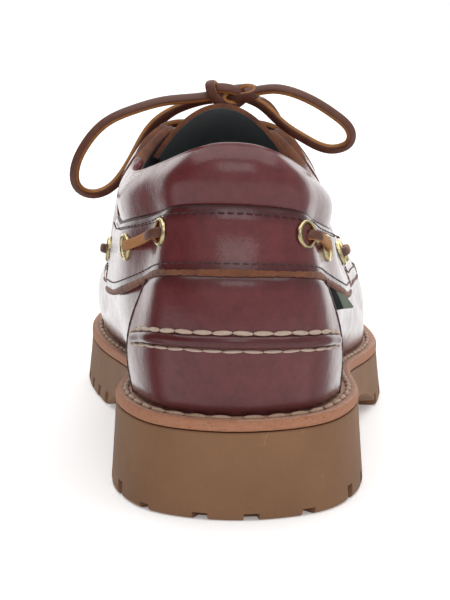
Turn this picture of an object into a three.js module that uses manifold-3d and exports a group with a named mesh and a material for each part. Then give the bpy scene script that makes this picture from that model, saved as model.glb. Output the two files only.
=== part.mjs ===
// A right-foot laced loafer with a hand-sewn apron, a padded collar and a lugged rubber sole.
// Millimetres, +Z up. While the pieces are worked out, y runs from the back of the welt to the toe,
// +x is the outer side of the foot and the floor is z = 0. The finished group is then centred on its sole.
import * as THREE from 'three';
import { mergeVertices } from 'three/addons/utils/BufferGeometryUtils.js';
import Module from 'manifold-3d';

const { Vector2, Vector3, Matrix4, Quaternion, MathUtils } = THREE;
const wasm = await Module();
wasm.setup();

// Driving dimensions
const GAP = 0.3;                 // clearance between neighbouring pieces
const SEWN_GAP = 0.5;            // clearance under a piece sewn on the upper's curved wall
const WELT_THICKNESS = 3.7;
const INSOLE_THICKNESS = 3;
const WALL = 2.2;                // leather and lining of the upper
const OVERLAY = 1.7;             // one more layer of leather sewn on the upper
const SOLE_FLARE = 1.6;          // how far the tread stands out past the welt
const TOE_SPRING = 9;
const SPRING_START = 226;
const LUG_DEPTH = 5;
const LUG_SLOT = 5;
const LUG_LENGTH = 14;
const CHANNEL = 4;
const HEEL_BREAST = 88;
const FOREPART_START = 180;
const ARCH_RISE = 10.5;
const THROAT_LEAN = -4.6;        // the throat sits a little to the inner side
const COLLAR_TILT = 0.045;       // and the collar a little lower on the outer side
const EYELET_RADIUS = 4.5;
const EYELET_HOLE = 3;
const EYELET_HEIGHT = 1.1;
const LACE_WIDTH = 3.6;
const LACE_THICKNESS = 2.8;
const LABEL_THICKNESS = 0.9;

// Steps round the whole shoe and across the upper's wall
const ROUND_STEPS = 64;
const OUTER_STEPS = 15;
const INNER_STEPS = 6;
const SPLINE_SWEEPS = 60;

// One row for each section from the heel's back to the tip of the toe, the same for both sides of the foot.
// y, lateral, medial: the welt's outline. shelf: how far the upper stands in from it. seat: height of its top.
// Out columns are measured outwards from the foot of the wall, and Z columns from the floor. seam is the collar's
// seam behind the eyestay and the apron's seam in front. crown lies crownShare of the way from seam to top.
// top is the rim: the collar's edge behind, the throat's edge in front. pad is the foam in the collar, and
// overhang how much further the wall stands out over the waist on the inner side.
const COLUMNS = [
  'y', 'lateral', 'medial', 'shelf', 'seat', 'bulgeOut', 'bulgeZ', 'midOut', 'midZ', 'seamOut', 'seamZ',
  'crownShare', 'crownOut', 'crownZ', 'topX', 'topY', 'topZ', 'pad', 'overhang',
];
const SECTIONS = [
  [0, 0, 0, 8, 31, 4.2, 50, 3.4, 75.5, 0, 95.3, 0.3, 2.5, 105.2, 0, 11, 113.9, 6, 0],
  [8, 22, 21.6, 7.8, 31, 4.2, 50, 4.4, 74.6, 1.7, 93.6, 0.3, 2.5, 103.6, 11, 13, 112.2, 6, 0],
  [24, 33.4, 32.6, 7.6, 31, 2.7, 49, 0, 70.5, -1.8, 89.4, 0.3, 2.5, 99.2, 20.5, 26, 106.6, 6, 0],
  [48, 39.4, 38.6, 7.4, 30.8, 2, 46, 1.3, 63.8, 0, 84.6, 0.35, 2.5, 93.6, 27.5, 46, 101.2, 6, 0.4],
  [75, 39.8, 38, 7, 30, 2.8, 42, 4.4, 58.6, 0.8, 81, 0.35, 2.4, 90, 30.5, 71, 98.4, 5, 1.6],
  [102, 39.8, 36, 6, 28.2, 4.2, 40, 5.6, 56, 1, 80, 0.4, 1.6, 91, 27.5, 93, 102.3, 2, 4],
  [128, 41.8, 36.6, 5.4, 26, 4.8, 38, 5, 54, -0.2, 76, 0.5, 1.8, 94, 17.8, 110, 110.3, 0, 4.4],
  [152, 46.6, 40, 5, 24, 3.8, 36, 2.6, 52, -4, 70, 0.5, 2, 87.5, 16.4, 130, 102.3, 0, 5],
  [176, 52, 45.2, 5, 22.5, 2.2, 34, -0.6, 49, -6.5, 63, 0.5, 3, 80.5, 15, 148, 94, 0, 4],
  [200, 55.3, 50.6, 5, 21.8, 1.4, 33, -1, 46.5, -8, 58.5, 0.5, 2.5, 75.5, 14, 160, 88.5, 0, 2],
  [224, 54.4, 54.3, 5, 21.9, 1.8, 33, -0.8, 45.5, -9, 56.5, 0.5, 2, 72, 11, 166.5, 86, 0, 0.5],
  [248, 49.5, 54.6, 5.2, 23, 2.4, 34, -0.6, 46, -10, 56, 0.5, 1, 70, 7.5, 169.5, 85.2, 0, 0],
  [270, 39.5, 48.8, 5.5, 25, 2.8, 36, -0.6, 47, -11, 56.5, 0.5, 0, 69.4, 4.5, 170.5, 85, 0, 0],
  [288, 24.5, 36.8, 5.8, 27.2, 3, 38, -0.8, 48.5, -12, 57.5, 0.5, 0, 69, 2, 171, 84.9, 0, 0],
  [300, -6, 6, 6, 28.8, 3, 39, -1, 49.5, -12.5, 58, 0.5, 0, 69, 0, 171, 84.8, 0, 0],
].map((row) => Object.fromEntries(COLUMNS.map((name, i) => [name, row[i]])));

const TOE = SECTIONS.length - 1;
const ROUND = 2 * TOE;           // stations round the shoe: 0 heel, then the outer side, TOE, then the inner side

// Levels up the wall of the upper
const FEATHER = 0;
const MID = 2;
const SEAM = 3;
const RIM = 5;

// Splines

function splineBends(values, spans, closed) {
  const count = values.length;
  const bends = new Array(count).fill(0);
  const first = closed ? 0 : 1;
  const last = closed ? count : count - 1;
  for (let sweep = 0; sweep < SPLINE_SWEEPS; sweep++) {
    for (let i = first; i < last; i++) {
      const before = (i + count - 1) % count;
      const after = (i + 1) % count;
      const kink = (values[after] - values[i]) / spans[i] - (values[i] - values[before]) / spans[before];
      const pull = spans[before] * bends[before] + spans[i] * bends[after];
      bends[i] = (6 * kink - pull) / (2 * (spans[before] + spans[i]));
    }
  }
  return bends;
}

// A smooth curve through points, read by point index. Closed curves have even knots, open ones chord lengths.
function spline(points, closed) {
  const count = points.length;
  const spans = points.map((p, i) => (closed ? 1 : p.distanceTo(points[(i + 1) % count])));
  const axes = ['x', 'y', 'z'].map((axis) => {
    const values = points.map((p) => p[axis]);
    return { values, bends: splineBends(values, spans, closed) };
  });
  return (at) => {
    const t = closed ? MathUtils.euclideanModulo(at, count) : MathUtils.clamp(at, 0, count - 1);
    const i = Math.min(Math.floor(t), closed ? count - 1 : count - 2);
    const j = (i + 1) % count;
    const s = t - i;
    const r = 1 - s;
    const ease = spans[i] ** 2 / 6;
    const [x, y, z] = axes.map(({ values, bends }) =>
      r * values[i] + s * values[j] + ease * ((r ** 3 - r) * bends[i] + (s ** 3 - s) * bends[j]));
    return new Vector3(x, y, z);
  };
}

// The last: outline of the welt, then the wall of the upper

const stations = Array.from({ length: ROUND }, (_, i) => ({
  row: SECTIONS[i <= TOE ? i : ROUND - i],
  side: i <= TOE ? 1 : -1,
}));

const welt = spline(stations.map(({ row, side }) =>
  new Vector3(side > 0 ? row.lateral : -row.medial, row.y, row.seat)), true);

function outwards(u) {
  const along = welt(u + 0.05).sub(welt(u - 0.05));
  return new Vector3(along.y, -along.x, 0).normalize();
}

// The welt's outline moved outwards in plan
function outline(u, out, z) {
  return welt(u).addScaledVector(outwards(u), out).setZ(z);
}

// The ankle's opening sits towards the inner side and lower on the outer side. share is how much of that applies.
function leanAt(y) {
  return THROAT_LEAN * MathUtils.smoothstep(y, 0, 90) * (1 - MathUtils.smoothstep(y, 190, 265));
}
function settle(point, share) {
  const tilt = COLLAR_TILT * (1 - MathUtils.smoothstep(point.y, 100, 165));
  point.z -= share * tilt * point.x;
  point.x += share * leanAt(point.y);
  return point;
}

const rim = spline(stations.map(({ row, side }) =>
  settle(new Vector3(side * row.topX, row.topY, row.topZ), 1)), true);

// A closed curve round the shoe at one level, from two columns of the table
function levelLoop(out, height, overhang, share) {
  return spline(stations.map(({ row, side }, i) => {
    const extra = side < 0 ? overhang * row.overhang : 0;
    return settle(outline(i, out(row) + extra - row.shelf, height(row)), share);
  }), true);
}
const seamLoop = levelLoop((row) => row.seamOut, (row) => row.seamZ, 0.9, 1);
const crownLoop = spline(stations.map(({ row }, i) => {
  const point = seamLoop(i).lerp(rim(i), row.crownShare).addScaledVector(outwards(i), row.crownOut);
  const level = MathUtils.lerp(row.seamZ, row.topZ, row.crownShare);
  const rise = MathUtils.lerp(seamLoop(i).z, rim(i).z, row.crownShare) - level;
  return point.setZ(row.crownZ + rise);
}), true);
const levels = [
  levelLoop(() => 0, (row) => row.seat + GAP, 0, 0),
  levelLoop((row) => row.bulgeOut, (row) => row.bulgeZ, 0.7, 0.3),
  levelLoop((row) => row.midOut, (row) => row.midZ, 1, 0.4),
  seamLoop,
  crownLoop,
  rim,
];
const padLoop = spline(stations.map(({ row }) => new Vector3(row.pad, 0, 0)), true);

// The outside of the upper at station u and level v
function upperAt(u, v) {
  return spline(levels.map((loop) => loop(u)), false)(v);
}

function upperNormal(u, v) {
  const step = 0.03;
  const round = upperAt(u + step, v).sub(upperAt(u - step, v));
  const up = upperAt(u, Math.min(v + step, RIM)).sub(upperAt(u, Math.max(v - step, FEATHER)));
  return round.cross(up).normalize();
}

// A point lifted off the outside of the upper
function onUpper(u, v, lift) {
  return upperAt(u, v).addScaledVector(upperNormal(u, v), lift);
}

// The collar's foam swells the wall between the collar seam and the rim
function wallAt(u, v) {
  const swell = v < SEAM ? 0 : Math.sin(Math.PI * MathUtils.clamp((v - SEAM) / (RIM + 0.5 - SEAM), 0, 1));
  return WALL + Math.max(0, padLoop(u).x) * swell;
}

function insideUpper(u, v) {
  const inner = onUpper(u, v, -wallAt(u, v));
  return v === FEATHER ? inner.setZ(upperAt(u, v).z) : inner;
}

// The level that lies the given millimetres above (or below, if negative) the seam
function besideSeam(u, offset) {
  const to = levels[offset < 0 ? MID : SEAM + 1](u);
  return SEAM + offset / seamLoop(u).distanceTo(to);
}

// Station of the welt's outline at a distance along the shoe
function stationAt(y) {
  let low = 0;
  let high = TOE;
  for (let i = 0; i < 30; i++) {
    const mid = (low + high) / 2;
    if (welt(mid).y < y) low = mid;
    else high = mid;
  }
  return low;
}

const tread = (y) => TOE_SPRING * Math.max(0, (y - SPRING_START) / (SECTIONS[TOE].y - SPRING_START)) ** 2;

// Solids

function geometryOf(points, triangles) {
  const raw = new THREE.BufferGeometry().setFromPoints(points).setIndex(triangles);
  const merged = mergeVertices(raw, 1e-4);
  const index = Array.from(merged.index.array);
  const kept = [];
  let volume = 0;
  const corner = (i) => new Vector3().fromBufferAttribute(merged.attributes.position, i);
  for (let i = 0; i < index.length; i += 3) {
    const [a, b, c] = index.slice(i, i + 3);
    if (a === b || b === c || c === a) continue;
    kept.push(a, b, c);
    volume += corner(a).dot(corner(b).cross(corner(c)));
  }
  merged.setIndex(volume < 0 ? kept.reverse() : kept);
  merged.computeVertexNormals();
  return merged;
}

// Joins rings of points, all with the same count. An open loft is closed by strips across its two end rings.
function loft(rings, closed) {
  const size = rings[0].length;
  const points = rings.flat();
  const triangles = [];
  const quad = (a, b, c, d) => triangles.push(a, b, c, a, c, d);
  const last = closed ? rings.length : rings.length - 1;
  for (let i = 0; i < last; i++) {
    const here = i * size;
    const next = ((i + 1) % rings.length) * size;
    for (let j = 0; j < size; j++) {
      const k = (j + 1) % size;
      quad(here + j, next + j, next + k, here + k);
    }
  }
  if (!closed) {
    const end = (rings.length - 1) * size;
    for (let j = 0; j < size / 2 - 1; j++) {
      const far = size - 1 - j;
      quad(j, j + 1, far - 1, far);
      quad(end + far, end + far - 1, end + j + 1, end + j);
    }
  }
  return geometryOf(points, triangles);
}

// A flat piece with the shoe's outline, from curves round it listed from top to bottom
function slab(layers) {
  const steps = ROUND_STEPS / 2;
  const rings = Array.from({ length: steps + 1 }, (_, k) => {
    const u = (TOE * k) / steps;
    const outer = layers.map((layer) => layer(u));
    const inner = layers.map((layer) => layer(ROUND - u)).reverse();
    return [...outer, ...inner];
  });
  return loft(rings, false);
}

// Shares from 0 to 1, either even or at the upper's own facets between two stations
const evenShares = (steps) => Array.from({ length: steps + 1 }, (_, i) => i / steps);
function facetShares(from, to) {
  const pitch = ROUND / ROUND_STEPS;
  const shares = [0];
  for (let k = Math.ceil(from / pitch + 0.2); k * pitch < to - 0.2 * pitch; k++) {
    shares.push((k * pitch - from) / (to - from));
  }
  return [...shares, 1];
}

// A piece sewn on the upper: place(a, b) gives station and level for shares along and across it
function overlay(place, along, across, lift, thickness) {
  const rings = along.map((a) => {
    const under = [];
    const over = [];
    for (const b of evenShares(across)) {
      const [u, v] = place(a, b);
      under.push(onUpper(u, v, lift));
      over.unshift(onUpper(u, v, lift + thickness(a, b)));
    }
    return [...under, ...over];
  });
  return loft(rings, false);
}
const even = (thickness) => () => thickness;

// A half-round bead, with its ends and edges brought down to a thin lip
const LIP = 0.4;
function bead(height, taper) {
  return (a, b) => {
    const end = Math.min(1, Math.min(a, 1 - a) / taper);
    return LIP + (height - LIP) * Math.sqrt(Math.max(0, 1 - (2 * b - 1) ** 2)) * Math.sqrt(end);
  };
}

function solidOf(geometry) {
  const bare = geometry.clone();
  bare.deleteAttribute('normal');
  bare.deleteAttribute('uv');
  const merged = mergeVertices(bare, 1e-4);
  return new wasm.Manifold(new wasm.Mesh({
    numProp: 3,
    vertProperties: new Float32Array(merged.attributes.position.array),
    triVerts: new Uint32Array(merged.index.array),
  }));
}

function geometryOfSolid(solid) {
  const mesh = solid.getMesh();
  const geometry = new THREE.BufferGeometry();
  geometry.setAttribute('position', new THREE.BufferAttribute(new Float32Array(mesh.vertProperties), 3));
  geometry.setIndex(new THREE.BufferAttribute(new Uint32Array(mesh.triVerts), 1));
  geometry.computeVertexNormals();
  return geometry;
}

function boxSolid(size, position, turn) {
  const place = new Matrix4().makeRotationZ(turn).setPosition(position);
  return solidOf(new THREE.BoxGeometry(size.x, size.y, size.z).applyMatrix4(place));
}

// Sole

// Slots between the lugs: stations round the edge, how high they are cut up the side and how deep
const FOREPART_SLOTS = Array.from({ length: 20 }, (_, i) => 8.05 + 0.62 * i);
const LUG_SLOTS = [
  { stations: [-1.47, -0.47, 0.17, 0.96], rise: 2.2, depth: 6 },
  { stations: [-3.9, -3.1, -2.4, 2.15, 2.9, 3.8], rise: LUG_DEPTH, depth: LUG_LENGTH },
  { stations: FOREPART_SLOTS, rise: LUG_DEPTH, depth: LUG_LENGTH },
];
const CROSS_GROOVES = [30, 50, 70, 182, 200, 218, 236, 254];
const OVERCUT = 5;

function edgeSlots() {
  const slots = [];
  for (const { stations: places, rise, depth } of LUG_SLOTS) {
    for (const u of places) {
      const out = outwards(u);
      const size = new Vector3(2 * depth, LUG_SLOT, rise + OVERCUT);
      const centre = outline(u, SOLE_FLARE, 0);
      centre.setZ(tread(centre.y) + (rise - OVERCUT) / 2);
      slots.push(boxSolid(size, centre, Math.atan2(out.y, out.x)));
    }
  }
  return slots;
}

// The groove that parts the edge lugs from the middle of the tread
function channelCutter() {
  const rings = Array.from({ length: ROUND_STEPS }, (_, k) => {
    const u = (ROUND * k) / ROUND_STEPS;
    const outer = outline(u, -LUG_LENGTH, 0);
    const inner = outline(u, -LUG_LENGTH - CHANNEL, 0);
    const top = (p) => p.clone().setZ(tread(p.y) + LUG_DEPTH);
    const bottom = (p) => p.clone().setZ(-OVERCUT);
    return [top(outer), bottom(outer), bottom(inner), top(inner)];
  });
  return solidOf(loft(rings, true));
}

function crossGrooves() {
  return CROSS_GROOVES.map((y) => {
    const u = stationAt(y);
    const outer = welt(u).x - LUG_LENGTH;
    const inner = welt(ROUND - u).x + LUG_LENGTH;
    const size = new Vector3(outer - inner, CHANNEL, LUG_DEPTH + OVERCUT);
    const centre = new Vector3((outer + inner) / 2, y, tread(y) + (LUG_DEPTH - OVERCUT) / 2);
    return boxSolid(size, centre, 0);
  });
}

// The hollow under the arch, between the heel's breast and the forepart
function archCutter() {
  const side = new THREE.Shape();
  side.moveTo(HEEL_BREAST - 1, -OVERCUT);
  side.lineTo(HEEL_BREAST + 2, ARCH_RISE - 2);
  side.quadraticCurveTo(HEEL_BREAST + 2.5, ARCH_RISE, HEEL_BREAST + 5, ARCH_RISE);
  side.lineTo(FOREPART_START - 40, ARCH_RISE);
  side.quadraticCurveTo(FOREPART_START - 10, ARCH_RISE - 1, FOREPART_START, 0);
  side.lineTo(FOREPART_START, -OVERCUT);
  const width = 200;
  const prism = new THREE.ExtrudeGeometry(side, { depth: width, bevelEnabled: false, curveSegments: 5 });
  const alongShoe = new Matrix4().makeBasis(new Vector3(0, 1, 0), new Vector3(0, 0, 1), new Vector3(1, 0, 0));
  return solidOf(prism.applyMatrix4(alongShoe.setPosition(-width / 2, 0, 0)));
}

function outsoleGeometry() {
  const top = (u) => outline(u, 0, welt(u).z - WELT_THICKNESS - GAP);
  const shoulder = (u) => outline(u, 0.3, (welt(u).z - WELT_THICKNESS) * 0.75);
  const foot = (u) => outline(u, SOLE_FLARE, tread(welt(u).y));
  let sole = solidOf(slab([top, shoulder, foot]));
  for (const cutter of [archCutter(), channelCutter(), ...crossGrooves(), ...edgeSlots()]) {
    sole = sole.subtract(cutter);
  }
  return geometryOfSolid(sole);
}

function weltGeometry() {
  const top = (u) => outline(u, 0, welt(u).z);
  const bottom = (u) => outline(u, 0, welt(u).z - WELT_THICKNESS);
  return slab([top, bottom]);
}

function insoleGeometry() {
  const edge = (u, z) => {
    const foot = insideUpper(u, FEATHER);
    return foot.addScaledVector(outwards(u), -2 * GAP).setZ(welt(u).z + z);
  };
  return slab([(u) => edge(u, GAP + INSOLE_THICKNESS), (u) => edge(u, GAP)]);
}

// Upper

function upperGeometry() {
  const rings = Array.from({ length: ROUND_STEPS }, (_, k) => {
    const u = (ROUND * k) / ROUND_STEPS;
    const outside = Array.from({ length: OUTER_STEPS + 1 }, (__, j) => upperAt(u, (RIM * j) / OUTER_STEPS));
    const inside = Array.from({ length: INNER_STEPS + 1 },
      (__, j) => insideUpper(u, RIM - (RIM * j) / INNER_STEPS));
    return [...outside, ...inside];
  });
  return loft(rings, true);
}

// The strip round the back of the collar that the lace runs behind
const BAND_END = 4.82;
const EYESTAY_BACK = 4.9;
const EYESTAY_FRONT = 8.45;
const APRON_BACK = 8.55;

function collarBandGeometry() {
  const place = (a, b) => [MathUtils.lerp(-BAND_END, BAND_END, a), MathUtils.lerp(MID, SEAM - 0.03, b)];
  return overlay(place, facetShares(-BAND_END, BAND_END), 3, SEWN_GAP, even(OVERLAY));
}

// The panel on the heel, below the band, with edges that curve forward as they go down
const PANEL_FOOT = 2.75;
const PANEL_LEAN = 0.1;
const PANEL_CURVE = 0.085;
const PANEL_MIDDLE = -0.07;
const PANEL_LIFT = 0.65;
function heelPanelGeometry() {
  const place = (a, b) => {
    const v = MathUtils.lerp(0.03, MID - 0.03, b);
    return [PANEL_MIDDLE + (2 * a - 1) * (PANEL_FOOT - PANEL_LEAN * v - PANEL_CURVE * v ** 3), v];
  };
  return overlay(place, evenShares(18), 5, PANEL_LIFT, even(OVERLAY));
}

// The raised seam across the heel
const HEEL_SEAM_LEVEL = 1.2;
const HEEL_SEAM_HALF = 0.085;
const HEEL_SEAM_HEIGHT = 2.2;
const HEEL_SEAM_END = 2.3;
function heelSeamGeometry() {
  const place = (a, b) => {
    const v = HEEL_SEAM_LEVEL - 0.08 * (2 * a - 1) ** 2 + MathUtils.lerp(-HEEL_SEAM_HALF, HEEL_SEAM_HALF, b);
    return [PANEL_MIDDLE + (2 * a - 1) * HEEL_SEAM_END, v];
  };
  return overlay(place, evenShares(20), 4, PANEL_LIFT + OVERLAY + SEWN_GAP, bead(HEEL_SEAM_HEIGHT, 0.06));
}

// The panels beside the throat that carry the eyelets
function eyestayGeometry(side) {
  const place = (a, b) => {
    const corner = 0.35 * Math.abs(2 * a - 1) ** 6;
    const u = MathUtils.lerp(EYESTAY_BACK, EYESTAY_FRONT, a);
    return [side > 0 ? u : ROUND - u, MathUtils.lerp(MID + corner, RIM - 0.04, b)];
  };
  return overlay(place, facetShares(EYESTAY_BACK, EYESTAY_FRONT), 9, SEWN_GAP, even(OVERLAY));
}

// The apron over the toes and the raised seam round it
const SEAM_HALF = 2.8;
const SEAM_HEIGHT = 3;
const apronStation = (a) => MathUtils.lerp(APRON_BACK, ROUND - APRON_BACK, a);
function apronGeometry() {
  const place = (a, b) => {
    const u = apronStation(a);
    return [u, MathUtils.lerp(besideSeam(u, SEAM_HALF + GAP), RIM - 0.05, b)];
  };
  return overlay(place, facetShares(APRON_BACK, ROUND - APRON_BACK), 6, SEWN_GAP, even(OVERLAY));
}

function apronSeamGeometry() {
  const place = (a, b) => {
    const u = apronStation(a);
    return [u, besideSeam(u, MathUtils.lerp(-SEAM_HALF, SEAM_HALF, b))];
  };
  return overlay(place, facetShares(APRON_BACK, ROUND - APRON_BACK), 4, SEWN_GAP, bead(SEAM_HEIGHT, 0.03));
}

// A plain woven tab that hangs from the band on the outer side
const LABEL_BACK = 2.2;
const LABEL_FRONT = 3.2;
function labelGeometry() {
  const place = (a, b) => [MathUtils.lerp(LABEL_BACK, LABEL_FRONT, a), MathUtils.lerp(1.58, MID - 0.04, b)];
  return overlay(place, facetShares(LABEL_BACK, LABEL_FRONT), 2, SEWN_GAP, even(LABEL_THICKNESS));
}

// Tongue: one row for each section from under the vamp to its free edge
const TONGUE_THICKNESS = 2.4;
const TONGUE = [
  { y: 184, z: 76, half: 13, drop: 2 },
  { y: 166, z: 83, half: 17, drop: 4 },
  { y: 148, z: 92, half: 20, drop: 8 },
  { y: 130, z: 102, half: 21.2, drop: 11.5 },
  { y: 112, z: 111.5, half: 19.3, drop: 11.3 },
  { y: 100, z: 117, half: 18.5, drop: 11.4 },
  { y: 94, z: 119.3, half: 20, drop: 14.2 },
];
const TONGUE_ACROSS = 8;
const tongueLine = spline(TONGUE.map((row) => new Vector3(0, row.y, row.z)), false);
const tongueSpread = spline(TONGUE.map((row) => new Vector3(row.half, row.y, row.drop)), false);

// A point of the tongue: at from 0 to the last row, share from -1 to 1 across it, lift above its middle
function tongueAt(at, share, lift) {
  const middle = tongueLine(at);
  const { x: half, z: drop } = tongueSpread(at);
  const along = tongueLine(at + 0.05).sub(tongueLine(at - 0.05)).normalize();
  const across = new Vector3(half, 0, -2 * share * drop).normalize();
  const up = across.cross(along).multiplyScalar(-1).normalize();
  const point = new Vector3(leanAt(middle.y) + half * share, middle.y, middle.z - drop * share ** 2);
  return point.addScaledVector(up, lift);
}

function tongueGeometry() {
  const steps = 12;
  const rings = Array.from({ length: steps + 1 }, (_, i) => {
    const at = ((TONGUE.length - 1) * i) / steps;
    const under = [];
    const over = [];
    for (let j = 0; j <= TONGUE_ACROSS; j++) {
      const share = (2 * j) / TONGUE_ACROSS - 1;
      under.push(tongueAt(at, share, -TONGUE_THICKNESS / 2));
      over.unshift(tongueAt(at, share, TONGUE_THICKNESS / 2));
    }
    return [...under, ...over];
  });
  return loft(rings, false);
}

// Eyelets: two on the band and five on the eyestay, on each side

const EYELET_LIFT = SEWN_GAP + OVERLAY + 0.62;
const EYELETS = [
  { name: 'band_rear', lateral: 1.1, medial: 1.42, v: 2.66 },
  { name: 'band_front', lateral: 2.45, medial: 2.98, v: 2.62 },
  { name: 'side_rear', lateral: 5.2, medial: 5.2, v: 2.5 },
  { name: 'side_front', lateral: 6.45, medial: 6.45, v: 2.5 },
  { name: 'throat_top', lateral: 6.55, medial: 6.55, v: 4.5 },
  { name: 'throat_middle', lateral: 7.3, medial: 7.3, v: 4.5 },
  { name: 'throat_front', lateral: 8.05, medial: 8.05, v: 4.5 },
];
const SIDES = [
  { name: 'lateral', sign: 1 },
  { name: 'medial', sign: -1 },
];

function eyeletGeometry() {
  const rounded = EYELET_HEIGHT * 0.45;
  const profile = [
    new Vector2(EYELET_HOLE, 0),
    new Vector2(EYELET_RADIUS, 0),
    new Vector2(EYELET_RADIUS - rounded, EYELET_HEIGHT),
    new Vector2(EYELET_HOLE + 0.3, EYELET_HEIGHT),
    new Vector2(EYELET_HOLE, 0),
  ];
  return new THREE.LatheGeometry(profile, 8);
}

// Station and level of an eyelet on one side
function eyeletPlace(name, sign) {
  const { lateral, medial, v } = EYELETS.find((one) => one.name === name);
  return [sign > 0 ? lateral : ROUND - medial, v];
}

// Lace

// A strip of lace along points. facing gives the direction of its flat side at a share of the way along.
function strip(points, facing, steps) {
  const line = spline(points, false);
  const count = points.length - 1;
  const rings = Array.from({ length: steps + 1 }, (_, i) => {
    const at = (count * i) / steps;
    const along = line(Math.min(at + 0.02, count)).sub(line(Math.max(at - 0.02, 0))).normalize();
    const sideways = along.clone().cross(facing(at / count)).normalize().multiplyScalar(LACE_WIDTH / 2);
    const up = sideways.clone().cross(along).normalize().multiplyScalar(LACE_THICKNESS / 2);
    const middle = line(at);
    const corner = (s, t) => middle.clone().addScaledVector(sideways, s).addScaledVector(up, t);
    return [corner(-1, -1), corner(1, -1), corner(1, 1), corner(-1, 1)];
  });
  return loft(rings, false);
}

const LACE_CLEAR = EYELET_HEIGHT + 2 * GAP + LACE_THICKNESS / 2;

// A run of lace outside the wall, from one eyelet to the next
function sideRunGeometry(from, to, sign) {
  const shares = [0, 0.15, 0.5, 0.85, 1];
  const [fromU, fromV] = eyeletPlace(from, sign);
  const [toU, toV] = eyeletPlace(to, sign);
  const at = (share) => [MathUtils.lerp(fromU, toU, share), MathUtils.lerp(fromV, toV, share)];
  const lift = EYELET_LIFT + LACE_CLEAR;
  const points = shares.map((share) => onUpper(...at(share), lift + 4 * share * (1 - share)));
  return strip(points, (share) => upperNormal(...at(share)), 10);
}

// Lace across the throat: a bar at the front, two crossings behind it, and a bar under the knot
const KNOT = new Vector3(-0.5, 115, 121.6);
const KNOT_RADII = new Vector3(8.6, 5, 5);
const BAR_STEPS = 6;
const LOWER_CROSSING = { from: 2, to: 'throat_middle', middle: 2.4 };
const UPPER_CROSSING = { from: 2.9, to: 'throat_top', middle: 3.2 };
const TOP_BAR = 3.95;
const overTongue = (at, share) => tongueAt(at, share, TONGUE_THICKNESS / 2 + GAP + LACE_THICKNESS / 2 + 0.9);

// The end of a strand that goes over the edge of the throat and down into its eyelet
function overEnd(name, sign) {
  const [station, v] = eyeletPlace(name, sign);
  const lift = EYELET_LIFT + LACE_CLEAR;
  const points = [onUpper(station, v, lift), onUpper(station, RIM, lift)];
  return { normal: upperNormal(station, v), points };
}

// The end of a strand that goes under the edge of the throat, beside the tongue
function underEnd(at, sign) {
  return { normal: new Vector3(sign * 0.5, 0.4, 1).normalize(), points: [overTongue(at, sign * 0.5)] };
}

function strand(from, to, middle) {
  const upwards = new Vector3(0, 0.45, 1).normalize();
  const facing = (share) => {
    const nearest = share < 0.5 ? from.normal : to.normal;
    return nearest.clone().lerp(upwards, 1 - Math.abs(2 * share - 1)).normalize();
  };
  return strip([...from.points, middle, ...to.points.toReversed()], facing, BAR_STEPS);
}

function frontBarGeometry() {
  return strand(overEnd('throat_front', 1), overEnd('throat_front', -1), overTongue(1.45, 0));
}

function crossingGeometry({ from, to, middle }) {
  const strands = SIDES.map(({ sign }) =>
    solidOf(strand(underEnd(from, sign), overEnd(to, -sign), overTongue(middle, 0))));
  return geometryOfSolid(strands[0].add(strands[1]));
}

function topBarGeometry() {
  return strand(underEnd(TOP_BAR, 1), underEnd(TOP_BAR, -1), overTongue(TOP_BAR, 0));
}

function knotGeometry() {
  return new THREE.SphereGeometry(1, 10, 7).scale(KNOT_RADII.x, KNOT_RADII.y, KNOT_RADII.z);
}

// The bow's loops as routes measured from the middle of the knot
const LOOP_MEDIAL = [
  [-9.5, -2, -0.6], [-23.2, -4, -1.9], [-33.5, -5, -4.6], [-43.8, -4.5, -9.4], [-50.7, -3.5, -17],
  [-54.4, -1.5, -25.5], [-53.6, 1.5, -32.1], [-48.5, 4.5, -34.8], [-42.6, 5.5, -32.8], [-38.2, 5.3, -28.1],
  [-33.3, 3.5, -19.8], [-27.2, 2.3, -10.3], [-19.2, 2.3, -5.1], [-9.5, 2.5, -2],
];
const LOOP_LATERAL = [
  [9.5, -2, 1.6], [14.4, -4, 2.2], [24.6, -5, -0.5], [35, -4, -6.7], [40.6, -3, -13], [40, -1, -16.6],
  [37, 0.5, -18.5], [33.9, 1, -18.9], [25, 2, -15.5], [16.7, 2.5, -10], [9.5, 3, -3.6],
];
const CORD_SIDES = 8;

// An end comes out of the knot, goes over the edge of the throat and lies forward on the eyestay
function endRoute(sign) {
  const leaving = [[4.5, 6.5, -2], [10.5, 9.5, -3]].map(([x, y, z]) => [sign * x, y, z]);
  const lying = [
    [6.86, 4.95, 8.6], [6.94, 4.5, 7.2], [7.2, 4.15, 6.4], [7.6, 4, 5.2], [8, 3.95, 5.2], [8.3, 3.9, 5.2],
  ];
  const onEyestay = lying.map(([u, v, lift]) => onUpper(sign > 0 ? u : ROUND - u, v, lift));
  return [...fromKnot(leaving), ...onEyestay];
}

const fromKnot = (route) => route.map((p) => new Vector3(...p).add(KNOT));

function cordGeometry(points, steps) {
  const path = new THREE.CatmullRomCurve3(points);
  const section = new THREE.Shape(Array.from({ length: CORD_SIDES }, (_, i) => {
    const angle = (2 * Math.PI * (i + 0.5)) / CORD_SIDES;
    return new Vector2(Math.cos(angle), Math.sin(angle)).multiplyScalar(LACE_WIDTH / 2);
  }));
  return new THREE.ExtrudeGeometry(section, { steps, extrudePath: path });
}

// Materials

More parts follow.
